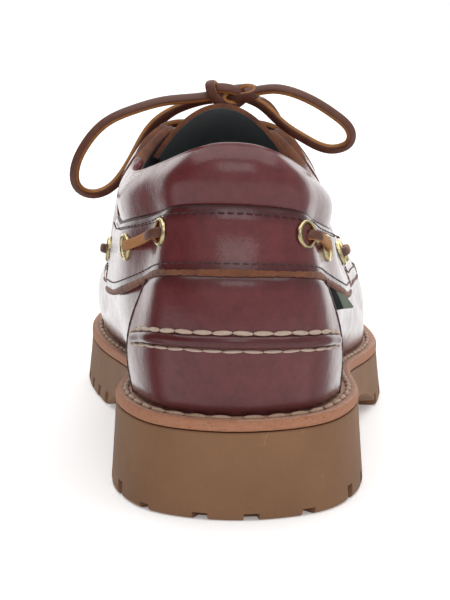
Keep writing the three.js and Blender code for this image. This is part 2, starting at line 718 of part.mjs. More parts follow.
function material(name, color, roughness, metalness = 0) {
  return new THREE.MeshStandardMaterial({ name, color, roughness, metalness });
}
const burgundy = material('burgundy_leather', 0x5c2a2c, 0.3);
const rawhide = material('rawhide_lace', 0x7d5240, 0.6);
const tanLeather = material('tan_welt_leather', 0xb07a58, 0.65);
const gumRubber = material('gum_rubber', 0x7f6148, 0.75);
const lining = material('dark_lining', 0x2a2c2b, 0.9);
const brass = material('brass', 0xd8b76a, 0.25, 1);
const weave = material('woven_tab', 0x3a413c, 0.9);

// Assembly

const shoe = new THREE.Group();
function piece(name, geometry, finish) {
  const mesh = new THREE.Mesh(geometry, finish);
  mesh.name = name;
  shoe.add(mesh);
  return mesh;
}

const outsole = piece('outsole', outsoleGeometry(), gumRubber);
piece('welt', weltGeometry(), tanLeather);
piece('insole', insoleGeometry(), lining);
piece('upper', upperGeometry(), burgundy);
piece('tongue', tongueGeometry(), burgundy);
piece('apron', apronGeometry(), burgundy);
piece('apron_seam', apronSeamGeometry(), burgundy);
piece('collar_band', collarBandGeometry(), burgundy);
piece('heel_panel', heelPanelGeometry(), burgundy);
piece('heel_seam', heelSeamGeometry(), burgundy);
piece('label_tab', labelGeometry(), weave);

const upright = new Vector3(0, 1, 0);
for (const { name, sign } of SIDES) {
  piece(`eyestay_${name}`, eyestayGeometry(sign), burgundy);
  for (const { name: place } of EYELETS) {
    const ring = piece(`eyelet_${name}_${place}`, eyeletGeometry(), brass);
    const [u, v] = eyeletPlace(place, sign);
    ring.position.copy(onUpper(u, v, EYELET_LIFT));
    ring.quaternion.copy(new Quaternion().setFromUnitVectors(upright, upperNormal(u, v)));
  }
  piece(`lace_run_${name}_rear`, sideRunGeometry('band_rear', 'band_front', sign), rawhide);
  piece(`lace_run_${name}_front`, sideRunGeometry('side_rear', 'side_front', sign), rawhide);
}

piece('lace_bar_front', frontBarGeometry(), rawhide);
piece('lace_crossing_lower', crossingGeometry(LOWER_CROSSING), rawhide);
piece('lace_crossing_upper', crossingGeometry(UPPER_CROSSING), rawhide);
piece('lace_bar_top', topBarGeometry(), rawhide);
piece('lace_knot', knotGeometry(), rawhide).position.copy(KNOT);
piece('lace_loop_medial', cordGeometry(fromKnot(LOOP_MEDIAL), 14), rawhide);
piece('lace_loop_lateral', cordGeometry(fromKnot(LOOP_LATERAL), 12), rawhide);
piece('lace_end_medial', cordGeometry(endRoute(-1), 10), rawhide);
piece('lace_end_lateral', cordGeometry(endRoute(1), 10), rawhide);

// The origin is on the floor, under the middle of the sole
const soleMiddle = new THREE.Box3().setFromObject(outsole).getCenter(new Vector3());
shoe.position.set(-soleMiddle.x, -soleMiddle.y, 0);

export default shoe;
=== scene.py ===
# %% [markdown]
# # A laced loafer with a hand-sewn apron and a lugged rubber sole
# The imported CAD model is the frame of this scene. It gives every piece its place, and the pieces made here
# are finer skins of the same forms: leather with rounded edges, rolled seams, stitches, brass and lace.

# %% Load the frame
import math

import bmesh
import bpy
import numpy as np
from mathutils import Matrix, Vector


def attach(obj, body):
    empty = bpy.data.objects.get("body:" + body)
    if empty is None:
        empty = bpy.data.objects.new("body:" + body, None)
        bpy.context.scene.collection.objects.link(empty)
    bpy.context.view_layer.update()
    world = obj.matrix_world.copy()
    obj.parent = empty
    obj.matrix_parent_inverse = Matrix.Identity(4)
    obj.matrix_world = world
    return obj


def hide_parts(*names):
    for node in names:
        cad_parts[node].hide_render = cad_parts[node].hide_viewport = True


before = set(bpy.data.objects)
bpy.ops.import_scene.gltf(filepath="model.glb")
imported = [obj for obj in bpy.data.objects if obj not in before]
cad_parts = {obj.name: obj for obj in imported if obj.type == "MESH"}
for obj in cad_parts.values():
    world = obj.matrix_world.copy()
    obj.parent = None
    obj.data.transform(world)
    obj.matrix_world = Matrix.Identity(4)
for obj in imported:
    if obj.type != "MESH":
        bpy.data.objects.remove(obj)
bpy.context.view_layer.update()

# %% [markdown]
# ## Camera
# The photo was taken from behind with a long lens, a little above the collar. Sizes are written in
# millimetres from the back of the welt, as a shoemaker measures, and one function turns them into metres.

# %% Camera
SOLE_MIDDLE = np.array([0.158, 150.0, 0.0])
MM = 0.001


def metres(points):
    return (np.asarray(points, float) - SOLE_MIDDLE) * MM


def put_in_scene(name, data):
    thing = bpy.data.objects.new(name, data)
    bpy.context.scene.collection.objects.link(thing)
    return thing


camera_data = bpy.data.cameras.new("photo_camera")
camera_data.sensor_width = 36
camera_data.lens = 148.23
camera = put_in_scene("photo_camera", camera_data)
camera.location = metres((-7.64, -734.56, 182.0))
pitch = 0.15395
yaw = 0.00526
looking = Vector((math.sin(yaw) * math.cos(pitch), math.cos(yaw) * math.cos(pitch), -math.sin(pitch)))
camera.rotation_mode = "QUATERNION"
camera.rotation_quaternion = looking.to_track_quat("-Z", "Y")
bpy.context.scene.camera = camera
print("camera at", [round(c, 3) for c in camera.location])

# %% [markdown]
# ## The last
# A shoe is built over a last, a solid foot shape. Here the last is a table with one row for each section from
# the heel to the toe. Smooth curves run round the shoe at six levels, and one more curve climbs through them,
# so any point of the leather has an address: a station round the shoe and a level up the wall.
# Modelling each panel apart by hand would leave gaps, and one shared surface keeps them lying on each other.

# %% Sections of the last
COLUMNS = (
    "y lateral medial shelf seat bulge_out bulge_z mid_out mid_z seam_out seam_z "
    "crown_share crown_out crown_z top_x top_y top_z pad overhang"
).split()
SECTIONS = np.array([
    [0, 0, 0, 8, 31, 4.2, 50, 3.4, 75.5, 0, 95.3, 0.3, 2.5, 105.2, 0, 11, 113.9, 6, 0],
    [8, 22, 21.6, 7.8, 31, 4.2, 50, 4.4, 74.6, 1.7, 93.6, 0.3, 2.5, 103.6, 11, 13, 112.2, 6, 0],
    [24, 33.4, 32.6, 7.6, 31, 2.7, 49, 0, 70.5, -1.8, 89.4, 0.3, 2.5, 99.2, 20.5, 26, 106.6, 6, 0],
    [48, 39.4, 38.6, 7.4, 30.8, 2, 46, 1.3, 63.8, 0, 84.6, 0.35, 2.5, 93.6, 27.5, 46, 101.2, 6, 0.4],
    [75, 39.8, 38, 7, 30, 2.8, 42, 4.4, 58.6, 0.8, 81, 0.35, 2.4, 90, 30.5, 71, 98.4, 5, 1.6],
    [102, 39.8, 36, 6, 28.2, 4.2, 40, 5.6, 56, 1, 80, 0.4, 1.6, 91, 27.5, 93, 102.3, 2, 4],
    [128, 41.8, 36.6, 5.4, 26, 4.8, 38, 5, 54, -0.2, 76, 0.5, 1.8, 94, 17.8, 110, 110.3, 0, 4.4],
    [152, 46.6, 40, 5, 24, 3.8, 36, 2.6, 52, -4, 70, 0.5, 2, 87.5, 16.4, 130, 102.3, 0, 5],
    [176, 52, 45.2, 5, 22.5, 2.2, 34, -0.6, 49, -6.5, 63, 0.5, 3, 80.5, 15, 148, 94, 0, 4],
    [200, 55.3, 50.6, 5, 21.8, 1.4, 33, -1, 46.5, -8, 58.5, 0.5, 2.5, 75.5, 14, 160, 88.5, 0, 2],
    [224, 54.4, 54.3, 5, 21.9, 1.8, 33, -0.8, 45.5, -9, 56.5, 0.5, 2, 72, 11, 166.5, 86, 0, 0.5],
    [248, 49.5, 54.6, 5.2, 23, 2.4, 34, -0.6, 46, -10, 56, 0.5, 1, 70, 7.5, 169.5, 85.2, 0, 0],
    [270, 39.5, 48.8, 5.5, 25, 2.8, 36, -0.6, 47, -11, 56.5, 0.5, 0, 69.4, 4.5, 170.5, 85, 0, 0],
    [288, 24.5, 36.8, 5.8, 27.2, 3, 38, -0.8, 48.5, -12, 57.5, 0.5, 0, 69, 2, 171, 84.9, 0, 0],
    [300, -6, 6, 6, 28.8, 3, 39, -1, 49.5, -12.5, 58, 0.5, 0, 69, 0, 171, 84.8, 0, 0],
])
TOE = len(SECTIONS) - 1
ROUND = 2 * TOE
WALL = 2.2
MID, SEAM, RIM = 2, 3, 5
stations = np.arange(ROUND)
side = np.where(stations <= TOE, 1.0, -1.0)
row = {name: SECTIONS[np.minimum(stations, ROUND - stations), k] for k, name in enumerate(COLUMNS)}
print(len(SECTIONS), "sections,", ROUND, "stations round the shoe")

# %% Curves round the shoe and up the wall


def closed_curve(points):
    """A smooth closed curve through points, read by point number."""
    count = len(points)
    each = np.eye(count)
    stiffness = 4 * each + np.roll(each, 1, 0) + np.roll(each, -1, 0)
    kinks = np.roll(points, -1, 0) - 2 * points + np.roll(points, 1, 0)
    bends = np.linalg.solve(stiffness, 6 * kinks)

    def at(u):
        u = np.mod(u, count)
        i = np.minimum(np.floor(u).astype(int), count - 1)
        j = (i + 1) % count
        s = (u - i)[:, None]
        r = 1 - s
        return r * points[i] + s * points[j] + ((r**3 - r) * bends[i] + (s**3 - s) * bends[j]) / 6

    return at


def open_curve(points, at):
    """Reads many open curves at once: points are [point, curve, xyz], and at has one place for each curve."""
    count, curves = points.shape[:2]
    steps = points[1:] - points[:-1]
    spans = np.linalg.norm(steps, axis=2)
    slopes = steps / spans[..., None]
    inner = count - 2
    stiffness = np.zeros((curves, inner, inner))
    for k in range(inner):
        stiffness[:, k, k] = 2 * (spans[k] + spans[k + 1])
        if k:
            stiffness[:, k, k - 1] = spans[k]
        if k < inner - 1:
            stiffness[:, k, k + 1] = spans[k + 1]
    kinks = 6 * (slopes[1:] - slopes[:-1])
    bends = np.zeros_like(points)
    bends[1:-1] = np.linalg.solve(stiffness, kinks.transpose(1, 0, 2)).transpose(1, 0, 2)
    i = np.clip(np.floor(at).astype(int), 0, count - 2)
    curve = np.arange(curves)
    s = (at - i)[:, None]
    r = 1 - s
    ease = spans[i, curve][:, None] ** 2 / 6
    bent = (r**3 - r) * bends[i, curve] + (s**3 - s) * bends[i + 1, curve]
    return r * points[i, curve] + s * points[i + 1, curve] + ease * bent


def smoothstep(x, low, high):
    t = np.clip((x - low) / (high - low), 0, 1)
    return t * t * (3 - 2 * t)


def unit(vectors):
    return vectors / np.linalg.norm(vectors, axis=-1, keepdims=True)


# %% Levels of the upper
THROAT_LEAN = -4.6
LEAN_BACK, LEAN_FRONT = (0, 90), (190, 265)
COLLAR_TILT = 0.045
COLLAR_FRONT = (100, 165)
welt_x = np.where(side > 0, row["lateral"], -row["medial"])
welt_curve = closed_curve(np.stack([welt_x, row["y"], row["seat"]], 1))


def outwards(u):
    along = welt_curve(u + 0.05) - welt_curve(u - 0.05)
    return unit(np.stack([along[:, 1], -along[:, 0], np.zeros(len(u))], 1))


def outline(u, out, z):
    """The welt's outline moved outwards in plan, at height z."""
    points = welt_curve(u) + outwards(u) * np.reshape(out, (-1, 1))
    points[:, 2] = z
    return points


def lean_at(y):
    return THROAT_LEAN * smoothstep(y, *LEAN_BACK) * (1 - smoothstep(y, *LEAN_FRONT))


def settle(points, share):
    """The ankle's opening sits towards the inner side and is lower on the outer side."""
    moved = points.copy()
    tilt = COLLAR_TILT * (1 - smoothstep(points[:, 1], *COLLAR_FRONT))
    moved[:, 2] -= share * tilt * points[:, 0]
    moved[:, 0] += share * lean_at(points[:, 1])
    return moved


def level_points(out, z, overhang, share):
    extra = np.where(side < 0, overhang * row["overhang"], 0)
    return settle(outline(stations.astype(float), out + extra - row["shelf"], z), share)


rim_points = settle(np.stack([side * row["top_x"], row["top_y"], row["top_z"]], 1), 1)
seam_points = level_points(row["seam_out"], row["seam_z"], overhang=0.9, share=1)
crown_share = row["crown_share"][:, None]
crown_points = seam_points + crown_share * (rim_points - seam_points)
crown_rise = crown_points[:, 2] - (row["seam_z"] + row["crown_share"] * (row["top_z"] - row["seam_z"]))
crown_points += outwards(stations.astype(float)) * row["crown_out"][:, None]
crown_points[:, 2] = row["crown_z"] + crown_rise
levels = [closed_curve(points) for points in (
    level_points(0, row["seat"] + 0.3, overhang=0, share=0),
    level_points(row["bulge_out"], row["bulge_z"], overhang=0.7, share=0.3),
    level_points(row["mid_out"], row["mid_z"], overhang=1, share=0.4),
    seam_points,
    crown_points,
    rim_points,
)]
pad_curve = closed_curve(row["pad"][:, None])
print("collar is", round(float(rim_points[0, 2]), 1), "mm high at the back")

# %% [markdown]
# ## Creases
# Worn-in leather bends in known places. Each main crease is given as a line between two addresses on
# the last: a soft trough with a low swell on both sides. The moccasin seam also gathers the side leather into
# small puckers. All of it is one height in millimetres that every leather piece adds to its own lift.

# %% Listed creases
STATION_MM = 24.0
LEVEL_MM = 16.0
SIDE_CREASES = [  # station and level of both ends, depth and half width in mm
    ((8.7, 4.2), (9.4, 2.2), 0.9, 3.2),
    ((9.4, 4.4), (10.1, 2.0), 0.7, 3.0),
    ((4.1, 1.7), (6.2, 1.05), 0.8, 4.0),
    ((6.9, 1.75), (8.6, 1.15), 0.6, 3.6),
]
INNER_CREASES = [((ROUND - a, b), (ROUND - c, d), *size) for (a, b), (c, d), *size in SIDE_CREASES]
HEEL_CREASES = [
    ((-0.9, 4.15), (0.5, 3.95), 0.12, 4.2),
    ((1.0, 3.8), (2.4, 4.15), 0.18, 4.0),
    ((-2.6, 4.1), (-1.5, 3.8), 0.18, 4.0),
    ((-1.1, 0.75), (0.9, 0.6), 0.15, 5.0),
]
GATHERED_BACK, GATHERED_FRONT = (8.6, 10), (18, 19.4)
PUCKER_MM = 0.45
PUCKERS_PER_STATION = 3.1
COLLAR_END = 5.2
COLLAR_GROOVE_MM = 0.9


def crease_height(u, v):
    """Height in mm that the creases add at each address, below zero in a trough."""
    height = np.zeros(len(u))
    for start, end, depth, half in SIDE_CREASES + INNER_CREASES + HEEL_CREASES:
        middle = (start[0] + end[0]) / 2
        near = (u - middle + TOE) % ROUND - TOE + middle
        spot = np.stack([near * STATION_MM, v * LEVEL_MM], 1)
        a = np.array([start[0] * STATION_MM, start[1] * LEVEL_MM])
        b = np.array([end[0] * STATION_MM, end[1] * LEVEL_MM])
        share = (spot - a) @ (b - a) / ((b - a) @ (b - a))
        away = np.linalg.norm(spot - (a + np.clip(share, 0, 1)[:, None] * (b - a)), axis=1) / half
        fade = np.clip(1.2 - np.abs(2 * share - 1) ** 2, 0.25, 1)
        height += depth * fade * (-np.exp(-away**2) + 0.45 * np.exp(-((away - 1.9) ** 2)))
    station = np.mod(u, ROUND)
    gathered = smoothstep(station, *GATHERED_BACK) * (1 - smoothstep(station, *GATHERED_FRONT))
    below_seam = np.exp(-(((v - 2.72) / 0.42) ** 2)) * (1 - smoothstep(v, 2.85, 3.05))
    height += PUCKER_MM * gathered * below_seam * np.sin(station * 2 * math.pi * PUCKERS_PER_STATION)
    collar = smoothstep(COLLAR_END - np.abs((station + TOE) % ROUND - TOE), 0, 0.5)
    height -= COLLAR_GROOVE_MM * collar * np.exp(-(((v - SEAM) / 0.055) ** 2))
    return height


# %% Addresses on the upper


def upper_at(u, v):
    return open_curve(np.stack([curve(u) for curve in levels]), v)


def upper_normal(u, v):
    step = 0.03
    along = upper_at(u + step, v) - upper_at(u - step, v)
    up = upper_at(u, np.minimum(v + step, RIM)) - upper_at(u, np.maximum(v - step, 0))
    return unit(np.cross(along, up))


def on_upper(u, v, lift):
    """Points lifted off the leather by so many millimetres, creases included."""
    u, v = np.broadcast_arrays(np.asarray(u, float), np.asarray(v, float))
    height = np.reshape(lift + crease_height(u, v), (-1, 1))
    return upper_at(u, v) + upper_normal(u, v) * height


def wall_at(u, v):
    """Leather and lining, with the collar's foam between the collar seam and the rim."""
    swell = np.where(v < SEAM, 0, np.sin(math.pi * np.clip((v - SEAM) / (RIM + 0.5 - SEAM), 0, 1)))
    return WALL + np.maximum(0, pad_curve(u)[:, 0]) * swell


def beside_seam(u, offset):
    """The level that lies so many millimetres above the seam, or below it if negative."""
    other = np.where((np.asarray(offset) < 0)[..., None], levels[MID](u), levels[SEAM + 1](u))
    return SEAM + offset / np.linalg.norm(levels[SEAM](u) - other, axis=1)


print("heel panel's middle is", [round(c, 1) for c in on_upper([0.0], [1.0], 0)[0]])

# %% [markdown]
# ## Helpers for pieces
# Most pieces start as a flat bmesh grid, as a piece of leather starts flat on the cutting table, and each
# vertex is then carried to its address. The grid's own UV map stays with it for patterns that follow the
# piece, and an attribute tells how far a point is from the piece's cut edge, where leather darkens.

# %% Helpers


def mapped(columns, rows, place, closed=False, paint=None, edge_mm=None, from_edge=20.0):
    """A grid carried to place(s, t). paint gives a material number, edge_mm the piece's length and height,
    and from_edge one distance to the edge for a piece too small to have its own."""
    bm = bmesh.new()
    bm.loops.layers.uv.new("UVMap")
    bmesh.ops.create_grid(bm, x_segments=columns, y_segments=rows, size=0.5, calc_uvs=True)
    flat = np.array([v.co[:2] for v in bm.verts]) + 0.5
    if paint:
        bm.verts.index_update()
        for face in bm.faces:
            s, t = flat[[v.index for v in face.verts]].mean(0)
            face.material_index = int(paint(s, t))
    # Each point's distance from the piece's edge in mm; the leather finish is darker within 4.5 mm of it.
    edge_distance = bm.verts.layers.float.new("edge")
    spots = metres(place(flat[:, 0], flat[:, 1]))
    for vert, spot, (s, t) in zip(bm.verts, spots, flat):
        vert.co = spot
        vert[edge_distance] = from_edge
        if edge_mm:
            vert[edge_distance] = min(min(s, 1 - s) * edge_mm[0], min(t, 1 - t) * edge_mm[1])
    if closed:
        bmesh.ops.remove_doubles(bm, verts=bm.verts, dist=1e-6)
        bmesh.ops.recalc_face_normals(bm, faces=bm.faces)
    return bm


def mesh_of(name, bm):
    mesh = bpy.data.meshes.new(name)
    bm.to_mesh(mesh)
    bm.free()
    return mesh


def piece_of(name, bm, finishes, nodes=()):
    """The finished object: smooth, with its finishes, riding on the shoe in place of its CAD nodes."""
    mesh = mesh_of(name, bm)
    mesh.shade_smooth()
    for finish in finishes:
        mesh.materials.append(finish)
    piece = put_in_scene(name, mesh)
    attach(piece, "root")
    if nodes:
        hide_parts(*nodes)
    print(name, len(mesh.polygons), "faces")
    return piece


def thicken(piece, thickness, round_mm, rim_finish=0):
    """Gives a skin its thickness outwards and rounds its cut edges."""
    solid = piece.modifiers.new("thickness", "SOLIDIFY")
    solid.thickness = thickness * MM
    solid.offset = 1
    solid.material_offset = 1
    solid.material_offset_rim = rim_finish
    rounding = piece.modifiers.new("rounded_edge", "BEVEL")
    rounding.width = round_mm * MM
    rounding.segments = 3
    rounding.limit_method = "ANGLE"
    rounding.angle_limit = math.radians(50)


# %% [markdown]
# ## Finishes
# Each finish is named for the real material; where light or shade is also painted into one, its comment says
# so.
# Colours are written as sRGB hex and turned to linear, pattern sizes are given in millimetres, and one small
# function adds a node with its settings and links.

# %% Colour and node helpers


def linear(colour):
    channels = [int(colour[i:i + 2], 16) / 255 for i in (1, 3, 5)]
    return tuple(c / 12.92 if c <= 0.04045 else ((c + 0.055) / 1.055) ** 2.4 for c in channels) + (1.0,)


def per_mm(size):
    """Texture scale for a feature of that many millimetres, on coordinates in metres."""
    return 1 / (size * MM)


def add(tree, kind, inputs, **settings):
    node = tree.nodes.new("ShaderNode" + kind)
    for name, value in settings.items():
        setattr(node, name, value)
    for socket, value in inputs.items():
        if isinstance(value, bpy.types.NodeSocket):
            tree.links.new(value, node.inputs[socket])
        else:
            node.inputs[socket].default_value = value
    return node


def new_finish(name, kind="TexCoord", space="Object", **settings):
    """An empty material, its node tree, and the coordinates that its patterns are laid by."""
    finish = bpy.data.materials.new(name)
    finish.use_nodes = True
    tree = finish.node_tree
    tree.nodes.clear()
    return finish, tree, add(tree, kind, {}, **settings).outputs[space]


def noise(tree, where, size_mm, detail, roughness=0.5, distortion=0.0):
    """Cloudy noise with features of about that size."""
    return add(tree, "TexNoise", {
        "Vector": where, "Scale": per_mm(size_mm), "Detail": detail, "Roughness": roughness,
        "Distortion": distortion}).outputs["Fac"]


def pores(tree, where, size_mm, randomness):
    """Height of round pores, set about that far apart."""
    cells = {"Vector": where, "Scale": per_mm(size_mm), "Randomness": randomness}
    return add(tree, "TexVoronoi", cells, feature="F1").outputs["Distance"]


def blend(tree, share, first, second):
    """A colour between two, each given as hex or as a socket."""
    first, second = (linear(end) if isinstance(end, str) else end for end in (first, second))
    return add(tree, "Mix", {0: share, 6: first, 7: second}, data_type="RGBA").outputs[2]


def ranged(tree, value, low, high, start, end):
    """start while the value is below low, end above high, and a straight line between."""
    return add(tree, "MapRange", {0: value, 1: low, 2: high, 3: start, 4: end}).outputs[0]


def bumped(tree, height, strength, depth_mm, under=None):
    """The normal of a surface with small relief, on top of another normal if one is given."""
    inputs = {"Height": height, "Strength": strength, "Distance": depth_mm * MM}
    if under is not None:
        inputs["Normal"] = under
    return add(tree, "Bump", inputs).outputs[0]


def surface(tree, inputs):
    """Ends a finish: one shader with these inputs, linked to the output."""
    shader = add(tree, "BsdfPrincipled", inputs)
    add(tree, "OutputMaterial", {"Surface": shader.outputs[0]})


# %% [markdown]
# ### Burgundy pull-up leather
# Full-grain leather, dyed through, waxed and polished. The eye sees a deep red brown that is mottled where
# the wax has moved, darker along cut edges, with fine pores and a gloss that waves with the hide.

# %% Burgundy leather
leather, tree, where = new_finish("burgundy_pull_up_leather")
mottle = noise(tree, where, 4.5, 5.0, 0.7)
clouds = blend(tree, noise(tree, where, 26, 4.0, 0.62), "#5a272a", "#733638")
spotted = blend(tree, ranged(tree, mottle, 0.42, 0.72, 0.0, 0.4), clouds, "#3f1413")
from_edge = add(tree, "Attribute", {}, attribute_name="edge").outputs["Fac"]
colour = blend(tree, ranged(tree, from_edge, 0.0, 4.5, 0.7, 0.0), spotted, "#2b0d0c")
waves = bumped(tree, noise(tree, where, 11, 2.0), 0.2, 1.2)
surface(tree, {
    "Base Color": colour, "Roughness": ranged(tree, mottle, 0.3, 0.8, 0.16, 0.28),
    "Normal": bumped(tree, pores(tree, where, 1.0, 1.0), 0.22, 0.12, waves),
    "IOR": 1.5, "Coat Weight": 0.15, "Coat Roughness": 0.2})
print(leather.name, len(tree.nodes), "nodes")

# %% [markdown]
# ### Cut leather edge
# Where a knife went through the hide, its undyed fibres show: orange brown, dry and matt, with a fine nap.

# %% Cut edge
cut_edge, tree, where = new_finish("cut_leather_edge")
fibres = noise(tree, where, 1.2, 6.0, 0.75)
pale = blend(tree, fibres, "#502613", "#955730")
stain = ranged(tree, noise(tree, where, 7, 2.0), 0.45, 0.75, 0.0, 0.6)
surface(tree, {
    "Base Color": blend(tree, stain, pale, "#43201a"), "Roughness": 0.8,
    "Normal": bumped(tree, fibres, 0.6, 0.3), "Sheen Weight": 0.2})
print(cut_edge.name, len(tree.nodes), "nodes")

# %% [markdown]
# ### Rawhide lace
# A lace cut from oiled hide. Its grain side is dark brown and slightly shiny, its cut sides are golden tan,
# partly the hide's own colour and partly a painted highlight along the lace's edges.

# %% Rawhide
rawhide, tree, where = new_finish("oiled_rawhide")
streaks = noise(tree, where, 3, 5.0, 0.7)
surface(tree, {
    "Base Color": blend(tree, streaks, "#43231a", "#784834"),
    "Roughness": ranged(tree, streaks, 0.2, 0.8, 0.42, 0.62),
    "Normal": bumped(tree, noise(tree, where, 0.9, 3.0), 0.4, 0.3)})

# The golden cut side is partly the hide's own colour and partly a painted highlight along the lace's edges.
golden_cut_side_and_highlight, tree, where = new_finish("cut_side_of_rawhide_and_painted_highlight")
fibres = noise(tree, where, 1.4, 5.0, 0.7)
surface(tree, {
    "Base Color": blend(tree, fibres, "#7c4820", "#c58747"), "Roughness": 0.7,
    "Normal": bumped(tree, fibres, 0.5, 0.2)})
print(rawhide.name, golden_cut_side_and_highlight.name)

# %% [markdown]
# ## The bow
# The lace is one flat strip of hide. A strip is a grid rolled into a tube whose section is a rounded oblong,
# carried along a route, and the route's facing turns the flat side. The bow's two loops and two ends are free
# cords, and each one's length is printed. The knot holds them and lies on the tongue.

# %% Strip of lace
LACE_WIDTH = 3.6
LACE_THICKNESS = 2.5
ROUNDNESS = 0.7
ACROSS_LACE = 16
CUT_SIDE_AND_HIGHLIGHT = 0.4


def curve_through(points, at):
    """Reads one open curve at many places."""
    return open_curve(np.repeat(points[:, None], len(at), 1), at)


def distance_along(line):
    return np.concatenate([[0], np.cumsum(np.linalg.norm(np.diff(line, axis=0), axis=1))])


def read_at(distances, run, points):
    return np.stack([np.interp(distances, run, points[:, k]) for k in range(3)], 1)


def route(points, count):
    """Evenly spaced points on a smooth curve through the given ones, and its length."""
    curve = curve_through(points, np.linspace(0, len(points) - 1, 600))
    run = distance_along(curve)
    return read_at(np.linspace(0, run[-1], count), run, curve), run[-1]


def swept(line, sideways, upward, section, rows, looped=False, paint=None, from_edge=20.0):
    """A skin round a line, with capped ends unless it closes on itself. section(turn, at) gives how far it
    lies to the side and upwards."""
    count = len(line)
    columns = count if looped else count + 1

    def place(s, t):
        step = np.rint(s * columns).astype(int)
        at = step % count if looped else np.clip(step - 1, 0, count - 1)
        opened = np.ones(len(s)) if looped else np.where((step == 0) | (step == columns), 0.0, 1.0)
        flat, thick = section(2 * math.pi * t, at)
        return line[at] + sideways[at] * (flat * opened)[:, None] + upward[at] * (thick * opened)[:, None]

    return mapped(columns, rows, place, closed=True, paint=paint, from_edge=from_edge)


def strip(line, facing, width=LACE_WIDTH, thickness=LACE_THICKNESS, looped=False, dark_to=1.0):
    """A lace along line. Its edges are the golden cut side, partly a painted highlight.
    Past the share dark_to only the cut side shows.
    """
    along = unit(np.roll(line, -1, 0) - np.roll(line, 1, 0) if looped else np.gradient(line, axis=0))
    sideways = unit(np.cross(along, facing))

    def oblong(wave, size):
        return np.sign(wave) * np.abs(wave) ** ROUNDNESS * size / 2

    def section(turn, at):
        return oblong(np.cos(turn), width), oblong(np.sin(turn), thickness)

    # Golden on both edges of the section: the cut side, partly painted highlight.
    def paint(s, t):
        return s > dark_to or abs(math.sin(2 * math.pi * t)) < CUT_SIDE_AND_HIGHLIGHT

    return swept(line, sideways, np.cross(sideways, along), section, ACROSS_LACE, looped, paint)


def lace_piece(name, bm, nodes=()):
    return piece_of(name, bm, [rawhide, golden_cut_side_and_highlight], nodes)


# %% Loops and ends of the bow
KNOT = np.array([-0.5, 115.0, 121.6])
LOOPS = {
    "medial": [
        (-4, -1, 0.5), (-9.5, -2, -0.6), (-23.2, -4, -1.9), (-33.5, -5, -4.6), (-43.8, -4.5, -9.4),
        (-50.7, -3.5, -17), (-54.4, -1.5, -25.5), (-53.6, 1.5, -32.1), (-48.5, 4.5, -34.8),
        (-42.6, 5.5, -32.8), (-38.2, 5.3, -28.1), (-33.3, 3.5, -19.8), (-27.2, 2.3, -10.3),
        (-19.2, 2.3, -5.1), (-9.5, 2.5, -2), (-4, 1, -1)],
    "lateral": [
        (4, -1, 0.5), (9.5, -2, 1.6), (14.4, -4, 2.2), (24.6, -5, -0.5), (35, -4, -6.7), (40.6, -3, -13),
        (40, -1, -16.6), (37, 0.5, -18.5), (33.9, 1, -18.9), (25, 2, -15.5), (16.7, 2.5, -10), (9.5, 3, -3.6),
        (4, 1, -1)],
}
LYING = np.array([
    (6.86, 4.95, 8.6), (6.94, 4.5, 7.2), (7.2, 4.15, 6.4), (7.6, 4, 5.2), (8, 3.95, 5.2), (8.3, 3.9, 5.2)])
SIDES = {"lateral": 1, "medial": -1}
CORD_POINTS = 90


def free_cord(name, points, facing_at, node):
    line, length = route(points, CORD_POINTS)
    lace = lace_piece(name, strip(line, facing_at(line)), [node])
    metres(line[0])
    metres(line)
    print(name, round(length, 1), "mm of lace")


def loop_facing(line):
    outward = unit(np.cross(np.gradient(line, axis=0), np.array([0.0, 1.0, 0.0])))
    outward *= np.sign(np.sum(outward * (line - line.mean(0))))
    return unit(0.7 * outward + np.array([0, -0.7, 0]))


for side_name, sign in SIDES.items():
    free_cord(f"bow_loop_{side_name}", KNOT + np.array(LOOPS[side_name]), loop_facing,
              f"lace_loop_{side_name}")
    leaving = KNOT + np.array([(sign * 4.5, 6.5, -2), (sign * 10.5, 9.5, -3)])
    station = LYING[:, 0] if sign > 0 else ROUND - LYING[:, 0]
    lying = on_upper(station, LYING[:, 1], LYING[:, 2])
    resting = unit(np.array([sign * 0.75, 0.1, 0.65]))
    free_cord(f"bow_end_{side_name}", np.concatenate([leaving, lying]),
              lambda line: np.repeat(resting[None], len(line), 0), f"lace_end_{side_name}")

# %% [markdown]
# The knot is a real overhand knot: the same strip follows a trefoil, drawn tight, so its strands cross over
# and under each other as they do on the shoe. A short turn of lace is tucked over its inner side.

# %% Knot
KNOT_SCALE = np.array([2.9, 2.0, 1.15])
KNOT_THICKNESS = 2.4
TUCK = np.array([(-4, -2.5, -3), (-7, -4, 0.5), (-7.8, -3.6, 3.4), (-7.2, -1.2, 4), (-5.2, 1, 1.5)])
TUCK_MIDDLE = np.array([-6.2, 0.0, -1.0])
TUCK_WIDTH = 3.4
TUCK_THICKNESS = 2.2
turn = np.linspace(0, 2 * math.pi, 120, endpoint=False)
trefoil = np.stack([
    np.sin(turn) + 2 * np.sin(2 * turn),
    -np.sin(3 * turn),
    np.cos(turn) - 2 * np.cos(2 * turn)], 1)
knot_line = KNOT + trefoil * KNOT_SCALE
knot_facing = unit(knot_line - KNOT + np.array([0, -2.0, 1.0]))
lace_piece("bow_knot", strip(knot_line, knot_facing, thickness=KNOT_THICKNESS, looped=True), ["lace_knot"])
tuck_line, _ = route(KNOT + TUCK, 30)
tuck_facing = unit(tuck_line - KNOT - TUCK_MIDDLE)
lace_piece("bow_knot_tuck", strip(tuck_line, tuck_facing, TUCK_WIDTH, TUCK_THICKNESS))

# %% [markdown]
# ## Lacing
# The lace runs along both sides from eyelet to eyelet and crosses the tongue. Each run dips into the hole
# at its end and stops plainly inside, where nobody sees it.

